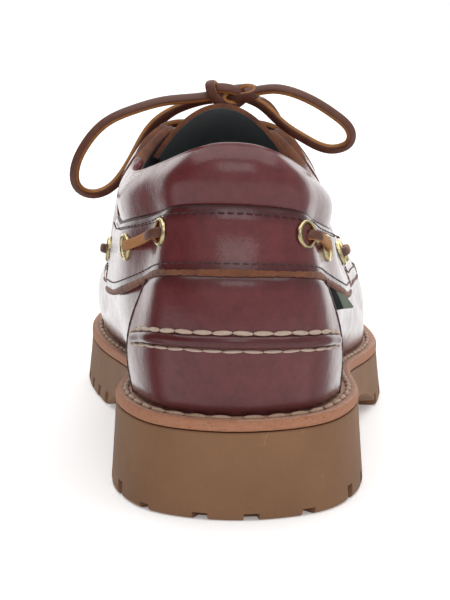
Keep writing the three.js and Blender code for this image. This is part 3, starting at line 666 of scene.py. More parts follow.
# %% Tongue's own surface
TONGUE = np.array([  # y and z of the middle, half width and drop at the sides
    (184, 76, 13, 2), (166, 83, 17, 4), (148, 92, 20, 8), (130, 102, 21.6, 12), (112, 111.5, 21.2, 13.7),
    (100, 117, 21.6, 15.6), (94, 119.3, 22.4, 17.8)])
TONGUE_THICKNESS = 1.7


def tongue_line(at):
    return curve_through(np.stack([np.zeros(len(TONGUE)), TONGUE[:, 0], TONGUE[:, 1]], 1), at)


def tongue_at(at, share, lift):
    """A point of the tongue: at is the row from the front, share from -1 to 1 across it."""
    at, share = np.broadcast_arrays(np.asarray(at, float), np.asarray(share, float))
    middle = tongue_line(at)
    half, _, drop = curve_through(TONGUE[:, [2, 0, 3]], at).T
    last = len(TONGUE) - 1
    along = unit(tongue_line(np.minimum(at + 0.05, last)) - tongue_line(np.maximum(at - 0.05, 0)))
    across = unit(np.stack([half, np.zeros(len(at)), -2 * share * drop], 1))
    upward = unit(np.cross(along, across))
    spot = np.stack([lean_at(middle[:, 1]) + half * share, middle[:, 1], middle[:, 2] - drop * share**2], 1)
    return spot + upward * np.reshape(lift, (-1, 1))


# %% Runs of lace
EYELETS = {  # stations on the outer and the inner side, and level
    "band_rear": (1.1, 1.42, 2.66), "band_front": (2.45, 2.98, 2.62), "side_rear": (5.2, 5.2, 2.5),
    "side_front": (6.45, 6.45, 2.5), "throat_top": (6.55, 6.55, 4.5), "throat_middle": (7.3, 7.3, 4.5),
    "throat_front": (8.05, 8.05, 4.5)}
EYELET_LIFT = 2.5
RUN_SHARES = np.array([0.02, 0.05, 0.14, 0.32, 0.5, 0.68, 0.86, 0.95, 0.98])
RUN_LIFTS = np.array([-0.5, 2.2, 3.9, 4.3, 4.4, 4.3, 3.9, 2.2, -0.5])
RUN_WIDTH = 3.2
RUN_THICKNESS = 2.0
RUN_DARK = 0.3


def eyelet_place(name, sign):
    outer, inner, v = EYELETS[name]
    return (outer, v) if sign > 0 else (ROUND - inner, v)


def side_run(name, start, end, sign, node):
    u0, v0 = eyelet_place(start, sign)
    u1, v1 = eyelet_place(end, sign)
    points = on_upper(u0 + RUN_SHARES * (u1 - u0), v0 + RUN_SHARES * (v1 - v0), RUN_LIFTS)
    line, _ = route(points, 44)
    facing = np.repeat(upper_normal(np.array([(u0 + u1) / 2]), np.array([v0])), len(line), 0)
    lace_piece(name, strip(line, facing, RUN_WIDTH, RUN_THICKNESS, dark_to=RUN_DARK), [node])


for side_name, sign in SIDES.items():
    side_run(f"side_lace_{side_name}_rear", "band_rear", "band_front", sign, f"lace_run_{side_name}_rear")
    side_run(f"side_lace_{side_name}_front", "side_rear", "side_front", sign, f"lace_run_{side_name}_front")


# %% Bars and crossings over the tongue


def into_eyelet(name, sign):
    u, v = eyelet_place(name, sign)
    return on_upper([u, u, u], [v - 0.02, v + 0.12, RIM], [-0.5, 4.4, 3.7])


def over_tongue(at, share, lift=0.0):
    return tongue_at([at], [share], TONGUE_THICKNESS / 2 + LACE_THICKNESS / 2 + 0.7 + lift)


def under_edge(at, sign):
    return over_tongue(at, sign * 0.62)


def throat_lace(name, points, nodes):
    line, _ = route(np.concatenate(points), 60)
    facing = unit(np.stack([0.5 * (line[:, 0] + 4) / 20, np.full(len(line), 0.45), np.ones(len(line))], 1))
    lace_piece(name, strip(line, facing), nodes)


FRONT_BAR = 1.45
TOP_BAR = 3.95
CROSSINGS = {  # rows of the tongue at the start and the middle, and the eyelet at the end
    "lower": (2.0, 2.4, "throat_middle"), "upper": (2.9, 3.2, "throat_top")}
throat_lace("throat_lace_front", [
    into_eyelet("throat_front", 1), over_tongue(FRONT_BAR, 0), into_eyelet("throat_front", -1)[::-1],
], ["lace_bar_front"])
for name, (start, middle, hole) in CROSSINGS.items():
    for side_name, sign in SIDES.items():
        hump = 0.1 if sign > 0 else 2.4
        points = [under_edge(start, sign), over_tongue(middle, 0, hump), into_eyelet(hole, -sign)[::-1]]
        nodes = [f"lace_crossing_{name}"] if sign > 0 else []
        throat_lace(f"throat_lace_{name}_{side_name}", points, nodes)
throat_lace("throat_lace_top", [
    under_edge(TOP_BAR, 1), over_tongue(TOP_BAR, 0), under_edge(TOP_BAR, -1)], ["lace_bar_top"])

# %% [markdown]
# ### Dark lining
# A soft grey lining like pigskin, matt and full of pores. Shade makes it look nearly black inside the shoe.

# %% Lining
lining, tree, where = new_finish("dark_lining_leather")
surface(tree, {
    "Base Color": blend(tree, noise(tree, where, 15, 3.0), "#73777a", "#8e9293"), "Roughness": 0.75,
    "Normal": bumped(tree, pores(tree, where, 1.6, 0.9), 0.35, 0.2)})
print(lining.name)

# %% [markdown]
# ## Upper
# The upper is one hollow wall. A grid goes up its outside, rolls over the rim and comes down inside, so the
# section is closed and the collar's foam shows as a soft swelling. Faces past the rim get the lining, and
# both sides of the throat are cut, so the raw fibres show there.

# %% Upper
OUTSIDE, ROLL = 0.62, 0.70
RIM_ARCH = 0.55
RAW_THROAT = (4.8, 8.6)
# Finish numbers: 2 is the raw cut edge, 3 the near-black burnished edge, which is partly painted shade.
RAW, BURNISHED_AND_SHADE = 2, 3


def upper_place(s, t):
    u = ROUND * s
    outer_v = RIM * np.clip(t / OUTSIDE, 0, 1)
    inner_v = RIM * np.clip((1 - t) / (1 - ROLL), 0, 1)
    outer = on_upper(u, outer_v, 0)
    inner = on_upper(u, inner_v, -wall_at(u, inner_v))
    inner[:, 2] = np.where(inner_v <= 0, welt_curve(u)[:, 2] + 0.3, inner[:, 2])
    roll = np.clip((t - OUTSIDE) / (ROLL - OUTSIDE), 0, 1)
    rim = np.full(len(u), float(RIM))
    top_out = on_upper(u, rim, 0)
    top_in = on_upper(u, rim, -wall_at(u, rim))
    half = np.linalg.norm(top_in - top_out, axis=1) / 2
    turn = math.pi * roll
    arch = (top_out + top_in) / 2 + (top_out - top_in) / 2 * np.cos(turn)[:, None]
    arch[:, 2] += half * RIM_ARCH * np.sin(turn)
    return np.where((t <= OUTSIDE)[:, None], outer, np.where((t >= ROLL)[:, None], inner, arch))


def upper_paint(s, t):
    """Leather outside, lining inside, and a raw cut edge along both sides of the throat."""
    station = min(ROUND * s, ROUND - ROUND * s)
    raw = RAW_THROAT[0] < station < RAW_THROAT[1] and OUTSIDE - 0.01 < t < ROLL + 0.02
    return RAW if raw else int(t > ROLL - 0.01)


piece_of("upper_leather", mapped(336, 100, upper_place, closed=True, paint=upper_paint),
         [leather, lining, cut_edge], ["upper"])

# %% [markdown]
# ### Burnished edge with painted shade
# An edge rubbed with wax goes nearly black and loses its shine. It borders the heel panel and the band's top,
# where its near-black is partly painted shade: the seam under the pad and the step along the panel's sides.

# %% Burnished edge with painted shade
burnished_and_painted_shade, tree, where = new_finish("burnished_edge_and_painted_shade")
surface(tree, {
    "Base Color": blend(tree, noise(tree, where, 2, 3.0), "#2c1211", "#4f2623"), "Roughness": 0.5,
    "Specular IOR Level": 0.3})
print(burnished_and_painted_shade.name)

# %% [markdown]
# ## Sewn-on leather
# The band, heel panel, eyestays and apron are flat cut shapes sewn over the upper. Each is a grid laid on the
# last, given its thickness with Solidify and rounded with Bevel. Edges are pared thin where another piece
# lies beside them. The eyestays' rims show raw fibres, and the band's top row is burnished near black, which
# is painted shade for the seam under the pad.

# %% Overlays
SKINS = [leather, lining, cut_edge, burnished_and_painted_shade]
SUNK = -0.3
OVERLAY_TOP = 2.2
PANEL_TOP = 2.35
ROUNDING = 0.55
BAND_END = 4.82
PANEL_MIDDLE = -0.07
PANEL_FOOT, PANEL_RISE, PANEL_HALF = 0.03, 1.94, 2.75
EYESTAY_ENDS = (4.9, 8.45)
APRON_START = 8.55


def lay_on(name, cells, address, size, nodes, skive, top=OVERLAY_TOP, rim_finish=0, paint=None):
    """A panel over the upper: address(s, t) gives station and level, size its length and height, top its
    outer face in mm off the last, and skive(s, t) how far it is pared down there."""
    def place(s, t):
        u, v = address(s, t)
        return on_upper(u, v, SUNK - skive(s, t))
    bm = mapped(*cells, place, edge_mm=size, paint=paint)
    thicken(piece_of(name, bm, SKINS, nodes), top - SUNK, ROUNDING, rim_finish)


def band_address(s, t):
    return -BAND_END + 2 * BAND_END * s, MID + 0.97 * t


def panel_address(s, t):
    v = PANEL_FOOT + PANEL_RISE * t
    return PANEL_MIDDLE + (2 * s - 1) * (PANEL_HALF - 0.1 * v - 0.085 * v**3), v


def eyestay_address(sign):
    def address(s, t):
        low = MID + 0.35 * np.abs(2 * s - 1) ** 6
        start = EYESTAY_ENDS[0] if sign > 0 else ROUND - EYESTAY_ENDS[1]
        return start + (EYESTAY_ENDS[1] - EYESTAY_ENDS[0]) * s, low + (RIM - 0.04 - low) * t
    return address


def apron_station(s):
    return APRON_START + (ROUND - 2 * APRON_START) * s


def apron_address(s, t):
    u = apron_station(s)
    low = beside_seam(u, np.full(len(u), 3.1))
    return u, low + (RIM - 0.05 - low) * t


# The band's top row gets the near-black burnished finish: painted shade for the seam under the pad.
lay_on("collar_band_leather", (220, 24), band_address, (225, 20), ["collar_band"],
       lambda s, t: 1.1 * smoothstep(t, 0.8, 1.0), paint=lambda s, t: BURNISHED_AND_SHADE if t > 0.97 else 0)
lay_on("heel_panel_leather", (130, 48), panel_address, (130, 44), ["heel_panel"],
       lambda s, t: 1.6 * smoothstep(t, 0.95, 1.0), PANEL_TOP)
for side_name, sign in SIDES.items():
    lay_on(f"eyestay_leather_{side_name}", (84, 56), eyestay_address(sign), (85, 50),
           [f"eyestay_{side_name}"], lambda s, t: 1.4 * smoothstep(s if sign < 0 else 1 - s, 0.86, 1.0),
           rim_finish=RAW)
lay_on("apron_leather", (200, 60), apron_address, (300, 60), ["apron"], lambda s, t: 0 * s)

# %% [markdown]
# ## Raised seams
# The seam round the apron and the one across the heel are pinched ridges of leather held by thick thread. A
# ridge is a half-round strip on the last, its ends brought down. The apron's has a slight beat along it from
# each pull of thread.

# %% Ridges
WHIP_PITCH = 6.2
HEEL_SEAM_LEVEL, HEEL_SEAM_DIP = 1.2, 0.08
HEEL_SEAM_HALF_WIDTH, HEEL_SEAM_HALF_LENGTH = 0.085, 2.3
APRON_SEAM_HALF_MM = 2.8


def ridge(name, address, top, height, length, taper, columns, pull, nodes):
    def place(s, t):
        over = np.where(t < 0.5, 2 * t, 2 - 2 * t)
        u, v = address(s, over)
        end = np.sqrt(np.clip(np.minimum(s, 1 - s) / taper, 0, 1))
        arch = np.sqrt(np.clip(1 - (2 * over - 1) ** 2, 0, 1)) * end
        beat = 1 + pull * np.cos(2 * math.pi * s * length / WHIP_PITCH) + 0.05 * np.sin(s * length * 0.37)
        return on_upper(u, v, top + arch * np.where(t < 0.5, height * beat, SUNK))
    bm = mapped(columns, 36, place, closed=True, from_edge=2.2)
    piece_of(name, bm, [leather], nodes)


def heel_seam_address(s, t):
    v = HEEL_SEAM_LEVEL - HEEL_SEAM_DIP * (2 * s - 1) ** 2 + HEEL_SEAM_HALF_WIDTH * (2 * t - 1)
    return PANEL_MIDDLE + (2 * s - 1) * HEEL_SEAM_HALF_LENGTH, v


def apron_seam_address(s, t):
    u = apron_station(s)
    return u, beside_seam(u, APRON_SEAM_HALF_MM * (2 * t - 1))


ridge("heel_seam_ridge", heel_seam_address, top=1.9, height=2.1, length=108, taper=0.03, columns=260,
      pull=0.0, nodes=["heel_seam"])
ridge("apron_seam_ridge", apron_seam_address, top=0.1, height=3.3, length=330, taper=0.02, columns=420,
      pull=0.08, nodes=["apron_seam"])

# %% [markdown]
# The lower edge of the band and of the eyestays is left raw and turned out a little, so it shows from behind
# as an orange-brown lip. The sides of the heel panel are rolled and burnished instead, near black, partly as
# painted shade along the panel's step. Each is a thin round tube that follows the edge, a bit uneven as a
# hand-cut edge is.

# %% Raw lips


def tube(line, radius, unevenness):
    """A closed tube along the points of line, with the radius a little uneven."""
    step = np.arange(len(line))
    rough = radius * (1 + unevenness * (np.sin(step * 1.7) * np.sin(step * 0.43) + 0.8 * np.sin(step * 0.19)))
    along = unit(np.gradient(line, axis=0))
    first = unit(np.cross(along, np.array([0.0, 0.0, 1.0])))

    def section(turn, at):
        return rough[at] * np.cos(turn), rough[at] * np.sin(turn)

    return swept(line, first, np.cross(along, first), section, 10, from_edge=1.0)


def edge_tube(name, address, s, t, lift, radius, unevenness, finish):
    line = on_upper(*address(*np.broadcast_arrays(s, t)), lift)
    piece_of(name, tube(line, radius, unevenness), [finish])


LIP_LIFT = 1.35
PANEL_SIDES = {"lateral": 1.0, "medial": 0.0}
# Rolled sides of the heel panel, near black: burnished leather, partly painted shade along the step.
for side_name, edge_at in PANEL_SIDES.items():
    edge_tube(f"panel_rolled_edge_{side_name}", panel_address, edge_at, np.linspace(0.01, 0.99, 60),
              lift=1.5, radius=1.1, unevenness=0.05, finish=burnished_and_painted_shade)
edge_tube("collar_band_raw_lip", band_address, np.linspace(0, 1, 220), 0.0, LIP_LIFT,
          radius=1.2, unevenness=0.13, finish=cut_edge)
for side_name, sign in SIDES.items():
    edge_tube(f"eyestay_raw_lip_{side_name}", eyestay_address(sign), np.linspace(0.02, 0.98, 110), 0.0,
              LIP_LIFT, radius=1.05, unevenness=0.12, finish=cut_edge)

# %% [markdown]
# ## Tongue
# The tongue is a padded leaf that arches between the two sides of the throat. Its free end is cut raw, so the
# rim shows brown. It is a grid on its own curved surface, given its thickness with Solidify.

# %% Tongue


def tongue_place(s, t):
    last = len(TONGUE) - 1
    share = 2 * t - 1
    swell = 0.5 * np.exp(-((share / 0.6) ** 2)) * np.sin(math.pi * s)
    rounded = 1.6 * np.clip(s * last - (last - 0.6), 0, 1) * np.abs(share) ** 3
    return tongue_at(np.clip(last * s - rounded * 0.3, 0, last), share, swell - TONGUE_THICKNESS / 2)


tongue = piece_of("tongue_leather", mapped(90, 60, tongue_place, edge_mm=(110, 60)), SKINS,
                  ["tongue"])
thicken(tongue, TONGUE_THICKNESS, round_mm=0.6, rim_finish=RAW)

# %% [markdown]
# ## Brass eyelets
# An eyelet is a short brass tube whose rim is rolled over by a press. Its profile is a small arc of vertices,
# spun a full turn, and a disc in the lace's brown closes the hole.

# %% Brass
brass, tree, where = new_finish("rolled_brass")
worn = noise(tree, where, 1.5, 3.0)
surface(tree, {
    "Base Color": blend(tree, worn, "#b9a46c", "#efe3ba"), "Metallic": 1.0,
    "Roughness": ranged(tree, worn, 0.3, 0.7, 0.16, 0.34)})
print(brass.name)

# %% Eyelets
EYELET_HOLE = 3.3
EYELET_RADIUS = 4.5
EYELET_SINK = 0.35
EYELET_SEGMENTS = 32


def eyelet(name, u, v, node):
    spot = on_upper([u], [v], EYELET_LIFT - EYELET_SINK)[0]
    normal = upper_normal(np.array([u]), np.array([v]))[0]
    bm = bmesh.new()
    middle = (EYELET_HOLE + EYELET_RADIUS) / 2
    reach = (EYELET_RADIUS - EYELET_HOLE) / 2
    turns = np.linspace(-0.35, math.pi, 9)
    arc = [bm.verts.new((middle - reach * math.cos(turn), 0, math.sin(turn))) for turn in turns]
    ring = [bm.edges.new(pair) for pair in zip(arc, arc[1:])]
    bmesh.ops.spin(bm, geom=arc + ring, cent=(0, 0, 0), axis=(0, 0, 1), angle=2 * math.pi,
                   steps=EYELET_SEGMENTS, use_merge=True)
    disc = bmesh.ops.create_circle(bm, cap_ends=True, radius=EYELET_HOLE + 0.15, segments=EYELET_SEGMENTS)
    for face in {f for vert in disc["verts"] for f in vert.link_faces}:
        face.material_index = 1
    bmesh.ops.recalc_face_normals(bm, faces=bm.faces)
    facing = Vector(normal).to_track_quat("Z", "Y").to_matrix().to_4x4()
    place = Matrix.Translation(metres(spot)) @ facing @ Matrix.Scale(MM, 4)
    bmesh.ops.transform(bm, matrix=place, verts=bm.verts)
    piece_of(name, bm, [brass, rawhide], [node])


for side_name, sign in SIDES.items():
    for name in EYELETS:
        eyelet(f"brass_eyelet_{side_name}_{name}", *eyelet_place(name, sign), f"eyelet_{side_name}_{name}")

# %% [markdown]
# ## Thread and stitches
# The thick thread is waxed, cream on the two raised seams and tan on the welt. Each stitch is a small lens
# that sinks into the leather at its ends. Finer dark thread holds the panels. One low sphere is stretched for
# each stitch, and the stitches of a seam are one piece.

# %% Thread finishes


def thread_finish(name, dark, pale, twist_mm):
    """Waxed thread: twisted strands, paler where they stand out, matt with a soft sheen."""
    finish, tree, where = new_finish(name)
    twist = noise(tree, where, twist_mm, 4.0, 0.7)
    surface(tree, {
        "Base Color": blend(tree, twist, dark, pale), "Roughness": 0.6,
        "Normal": bumped(tree, twist, 0.5, 0.2), "Sheen Weight": 0.15})
    return finish


cream_thread = thread_finish("waxed_cream_thread", "#94796a", "#dcc4b2", 0.8)
dark_thread = thread_finish("waxed_brown_thread", "#241010", "#48241f", 0.5)
tan_thread = thread_finish("waxed_tan_thread", "#947560", "#cbab92", 0.8)

# %% Stitches


def stitches(name, line, normals, pitch, size, finish):
    """Lenses every pitch mm along line. size is length, width and height in mm. Each sways a little."""
    run = distance_along(line)
    count = int(run[-1] // pitch)
    starts = (run[-1] - count * pitch) / 2 + pitch * (np.arange(count) + 0.5)
    spots = read_at(starts, run, line)
    ups = unit(read_at(starts, run, normals))
    ways = unit(read_at(starts + 0.4, run, line) - read_at(starts - 0.4, run, line))
    bm = bmesh.new()
    for number, (spot, up, along) in enumerate(zip(spots, ups, ways)):
        across = unit(np.cross(up, along))
        sway = 0.06 * math.sin(number * 2.1)
        pointing = along * math.cos(sway) + across * math.sin(sway)
        sideways = np.cross(up, pointing)
        axes = Matrix((sideways * size[1] / 2, up * size[2] / 2, pointing * size[0] / 2)).transposed()
        place = Matrix.Translation(metres(spot)) @ (axes * MM).to_4x4()
        bmesh.ops.create_uvsphere(bm, u_segments=8, v_segments=6, radius=1, matrix=place)
    bmesh.ops.recalc_face_normals(bm, faces=bm.faces)
    piece_of(name, bm, [finish])


def sew(name, address, s, t, lift, pitch, size, finish):
    """Stitches along a line of addresses on the upper."""
    u, v = np.broadcast_arrays(*address(*np.broadcast_arrays(s, t)))
    stitches(name, on_upper(u, v, lift), upper_normal(u, v), pitch, size, finish)


HEEL_SEWN = {  # place across the ridge and size of a stitch
    "upper": (1.14, (6.4, 1.6, 1.6)), "lower": (-0.14, (6.4, 1.15, 1.15))}
APRON_SEWN = {"upper": (1.12, 2.0), "lower": (-0.12, 0.4)}  # place across the ridge and lift
END_STITCH = (2.6, 1.1, 1.3)
APRON_STITCH = (5.6, 1.5, 1.5)
share = np.linspace(0, 1, 400)
for name, (t, size) in HEEL_SEWN.items():
    sew(f"heel_seam_stitches_{name}", heel_seam_address, share, t, lift=2.5, pitch=WHIP_PITCH, size=size,
        finish=cream_thread)
for name, end in PANEL_SIDES.items():
    sew(f"heel_seam_end_stitches_{name}", heel_seam_address, end, np.linspace(-0.3, 1.3, 40),
        lift=2.3, pitch=2.2, size=END_STITCH, finish=cream_thread)
for name, (t, lift) in APRON_SEWN.items():
    sew(f"apron_seam_stitches_{name}", apron_seam_address, share, t, lift, WHIP_PITCH, APRON_STITCH,
        cream_thread)

# %% Fine stitches along the panels
FINE = (2.3, 0.5, 0.6)
FINE_PITCH = 2.9
FINE_LIFT = 2.25
for name, t in {"top": 0.955, "foot": 0.13}.items():
    sew(f"band_stitches_{name}", band_address, 0.012 + 0.976 * share, t, FINE_LIFT, FINE_PITCH, FINE,
        dark_thread)
for side_name, sign in SIDES.items():
    sew(f"eyestay_stitches_{side_name}", eyestay_address(sign), 0.06 + 0.88 * share, 0.06, FINE_LIFT,
        FINE_PITCH, FINE, dark_thread)

# %% [markdown]
# ## Woven tab
# A small tab of plain weave is caught under the band on the outer side. Its yarns are a fine check on
# its own UV map, nearly black, and the end that is turned outwards is a greener grey.

# %% Tab finish
TAB_MM = (24, 10)
YARN_MM = 0.7
tab_weave, tree, where = new_finish("plain_woven_tab", "UVMap", "UV", uv_map="UVMap")
yarns = add(tree, "Mapping", {"Vector": where, "Scale": (TAB_MM[0] / YARN_MM, TAB_MM[1] / YARN_MM, 1.0)})
checks = add(tree, "TexChecker", {
    "Vector": yarns.outputs[0], "Scale": 1.0, "Color1": linear("#17191a"), "Color2": linear("#262a29")})
along = add(tree, "SeparateXYZ", {"Vector": where}).outputs["X"]
turned_out = ranged(tree, along, 0.52, 0.56, 0.0, 1.0)
surface(tree, {
    "Base Color": blend(tree, turned_out, checks.outputs["Color"], "#6d7468"), "Roughness": 0.85,
    "Normal": bumped(tree, checks.outputs["Fac"], 0.5, 0.2), "Specular IOR Level": 0.1})
print(tab_weave.name)

# %% Tab
TAB_START, TAB_LENGTH = 2.12, 0.85
TAB_FOOT, TAB_SLANT, TAB_HEAD = 1.54, 0.13, 1.96
TAB_STANDS_OFF = 4.0


def tab_place(s, t):
    foot = TAB_FOOT + TAB_SLANT * s
    hanging = (1 - t) ** 0.7
    lift = 0.2 + TAB_STANDS_OFF * s * hanging
    return on_upper(TAB_START + TAB_LENGTH * s, foot + (TAB_HEAD - foot) * t, lift)


tab = piece_of("woven_tab_folded", mapped(30, 14, tab_place), [tab_weave] * 3, ["label_tab"])
thicken(tab, thickness=0.9, round_mm=0.25)

# %% [markdown]
# ## Sole
# Under the upper lie the insole, the welt and the outsole. The welt and the outsole are slabs with the shoe's
# outline: a grid goes round the section at every station, from the outer edge's top down, across, and up the
# inner edge.

# %% Slab
TOE_SPRING = 9
SPRING_START, SPRING_LENGTH = 226, 74


def seat(u):
    return welt_curve(u)[:, 2]


def tread(y):
    return TOE_SPRING * np.maximum(0, (y - SPRING_START) / SPRING_LENGTH) ** 2


def slab(profile, below_seat, columns, ledge=0):
    """A slab with the given rows from top to bottom: how far out from the welt's outline, the shares of the
    slab's top and of the tread in the height, and what is added to it. The faces between the first so many
    rows are a ledge with the second finish."""
    out, of_top, of_tread, extra = np.array(profile).T
    layers = len(profile)

    def place(s, t):
        step = np.rint(t * 2 * layers).astype(int) % (2 * layers)
        outer = step < layers
        u = np.where(outer, TOE * s, ROUND - TOE * s)
        layer = np.where(outer, step, 2 * layers - 1 - step)
        z = of_top[layer] * (seat(u) - below_seat) + of_tread[layer] * tread(welt_curve(u)[:, 1])
        return outline(u, out[layer], z + extra[layer])

    def paint(s, t):
        return abs(t - 0.5) > 0.5 - ledge / (2 * layers)

    return mapped(columns, 2 * layers, place, closed=True, paint=paint)


# %% [markdown]
# ### Tan welt leather
# A strip of vegetable-tanned hide. Its cut edge is orange tan and fibrous, in fine layers that run along it.
# Its top has its own copy of the finish in a paler, pinker tan, partly the grain's tone and partly painted
# highlight on the upward face, and both are dulled by handling, in small specks of dirt.

# %% Welt finish


def welt_finish(name, dark, pale, soiled):
    finish, tree, where = new_finish(name)
    flat = add(tree, "Mapping", {"Vector": where, "Scale": (1.0, 1.0, 5.0)}).outputs[0]
    layers = noise(tree, flat, 3.2, 6.0, 0.72)
    dirt = ranged(tree, noise(tree, where, 0.9, 3.0), 0.56, 0.75, 0.0, 0.5)
    surface(tree, {
        "Base Color": blend(tree, dirt, blend(tree, layers, dark, pale), soiled), "Roughness": 0.75,
        "Specular IOR Level": 0.3, "Normal": bumped(tree, layers, 0.5, 0.5)})
    return finish


tan_edge = welt_finish("vegetable_tanned_welt_edge", "#985d3f", "#c18f72", "#6f3f2c")
# The top's paler, pinker copy is partly painted highlight on the ledge's upward face.
tan_ledge_with_painted_highlight = welt_finish("vegetable_tanned_welt_top_painted_highlight", "#a37663", "#cda58f", "#7d5646")
print(tan_edge.name, tan_ledge_with_painted_highlight.name)

# %% Welt
WELT_THICKNESS = 3.7
WELT_PROFILE = [
    (-4.5, 1, 0, 0.05), (-3.4, 1, 0, -0.55), (-2.2, 1, 0, 0), (-0.9, 1, 0, 0), (-0.3, 1, 0, -0.25),
    (0, 1, 0, -0.9), (0.1, 1, 0, -1.9), (0, 1, 0, -3), (-0.5, 1, 0, -3.6), (-1.2, 1, 0, -WELT_THICKNESS)]
LEDGE_GROOVE = -3.4
WELT_STITCH = (6.8, 2.0, 1.6)
WELT_PITCH = 7.7
piece_of("welt_leather", slab(WELT_PROFILE, 0, 224, ledge=4), [tan_edge, tan_ledge_with_painted_highlight],
         ["welt"])

around = np.linspace(0, ROUND, 1200)
ledge = outline(around, LEDGE_GROOVE, seat(around) + 0.15)
upward = np.repeat(np.array([[0.0, 0.0, 1.0]]), len(around), 0)
stitches("welt_stitches", ledge, upward, WELT_PITCH, WELT_STITCH, tan_thread)

# %% Insole
INSOLE_ROWS = 28
EDGE_POINTS = 4
edge_stations = np.linspace(0, ROUND, EDGE_POINTS * ROUND, endpoint=False)
insole_edge = closed_curve(on_upper(edge_stations, np.zeros(len(edge_stations)), -WALL))


def insole_place(s, t):
    """Across the top from the outer side to the inner side, then back below."""
    step = np.rint(t * INSOLE_ROWS).astype(int) % INSOLE_ROWS
    last = INSOLE_ROWS // 2 - 1
    on_top = step <= last
    share = np.where(on_top, step, INSOLE_ROWS - 1 - step) / last
    lateral = insole_edge(TOE * s * EDGE_POINTS)
    medial = insole_edge((ROUND - TOE * s) * EDGE_POINTS)
    spot = lateral + (medial - lateral) * (0.012 + 0.976 * share)[:, None]
    dish = 1.2 * np.sin(math.pi * share) ** 0.5 * np.sin(math.pi * s)
    spot[:, 2] = seat(TOE * s) + np.where(on_top, 3.3 - dish, 0.3)
    return spot


piece_of("insole_leather", mapped(120, INSOLE_ROWS, insole_place, closed=True), [lining],
         ["insole"])

# %% [markdown]
# ### Gum rubber
# The outsole is one moulding of brown gum rubber. The eye sees a soft matt skin with faint paler scuffs and
# small dark specks.

# %% Gum rubber
gum_rubber, tree, where = new_finish("moulded_gum_rubber")
specks = noise(tree, where, 1.1, 4.0, 0.7)
scuffs = noise(tree, where, 9, 5.0, 0.75, distortion=1.2)
body = blend(tree, noise(tree, where, 30, 3.0), "#76573f", "#976f51")
scuffed = blend(tree, ranged(tree, scuffs, 0.62, 0.72, 0.0, 0.5), body, "#a98a70")
surface(tree, {
    "Base Color": blend(tree, ranged(tree, specks, 0.6, 0.75, 0.0, 0.35), scuffed, "#5a3f2c"),
    "Roughness": ranged(tree, scuffs, 0.3, 0.75, 0.62, 0.8), "Specular IOR Level": 0.25,
    "Normal": bumped(tree, specks, 0.25, 0.2)})
print(gum_rubber.name)

# %% [markdown]
# ### Outsole
# The mould gives a heel block, a hollow under the arch and lugs round the edge. The slab is made first, and
# the hollow, the slots, the grooves and the channel are then taken out with Boolean modifiers, as a mould
# maker would cut them.

# %% Outsole blank
OUTSOLE_PROFILE = [
    (-0.4, 1, 0, 0), (0, 1, 0, -0.5), (0.15, 0.88, 0, 0), (0.3, 0.75, 0, 0), (0.75, 0.5, 0.5, 0),
    (1.2, 0.25, 0.75, 0), (1.5, 0, 1, 1.6), (1.3, 0, 1, 0.7), (0.6, 0, 1, 0.15), (-0.3, 0, 1, 0)]
outsole = piece_of("gum_outsole", slab(OUTSOLE_PROFILE, WELT_THICKNESS + 0.3, 168), [gum_rubber],
                   ["outsole"])

# %% Cutters for the tread
LUG_DEPTH = 5.0
LUG_LENGTH = 14.0
LUG_SLOTS = (
    [(u, 2.2, 6.0) for u in (-1.47, -0.47, 0.17, 0.96)]
    + [(u, LUG_DEPTH, LUG_LENGTH) for u in (-3.9, -3.1, -2.4, 2.15, 2.9, 3.8)]
    + [(8.05 + 0.62 * i, LUG_DEPTH, LUG_LENGTH) for i in range(20)]
)
CROSS_GROOVES = (30, 50, 70, 182, 200, 218, 236, 254)
OVERCUT = 5.0
SLOT_WIDTH = 5.0
GROOVE_WIDTH = 4.0
ARCH_HEIGHT = 10.5
HEEL_FRONT = 90
ARCH_SLOPE, ARCH_END = 140, 180


def box_into(bm, centre, size, turn):
    turned = Matrix.Translation(metres(centre)) @ Matrix.Rotation(turn, 4, "Z")
    place = turned @ Matrix.Diagonal((*(np.array(size) * MM), 1))
    bmesh.ops.create_cube(bm, size=1, matrix=place)


def slot_cutters(bm):
    for u, rise, depth in LUG_SLOTS:
        out = outwards(np.array([u]))[0]
        centre = outline(np.array([u]), 1.6, 0)[0]
        centre[2] = tread(centre[1]) + (rise - OVERCUT) / 2
        box_into(bm, centre, (2 * depth, SLOT_WIDTH, rise + OVERCUT), math.atan2(out[1], out[0]))


def groove_cutters(bm):
    along = np.linspace(0, TOE, 800)
    for y in CROSS_GROOVES:
        u = np.interp(y, welt_curve(along)[:, 1], along)
        outer = welt_curve(np.array([u]))[0, 0] - LUG_LENGTH
        inner = welt_curve(np.array([ROUND - u]))[0, 0] + LUG_LENGTH
        centre = np.array([(outer + inner) / 2, y, tread(y) + (LUG_DEPTH - OVERCUT) / 2])
        box_into(bm, centre, (outer - inner, GROOVE_WIDTH, LUG_DEPTH + OVERCUT), 0)


def channel_place(s, t):
    corner = np.rint(t * 4).astype(int) % 4
    u = ROUND * s
    out = np.where((corner == 0) | (corner == 1), -LUG_LENGTH, -LUG_LENGTH - GROOVE_WIDTH)
    spot = outline(u, out, 0)
    spot[:, 2] = np.where((corner == 0) | (corner == 3), tread(spot[:, 1]) + LUG_DEPTH, -OVERCUT)
    return spot


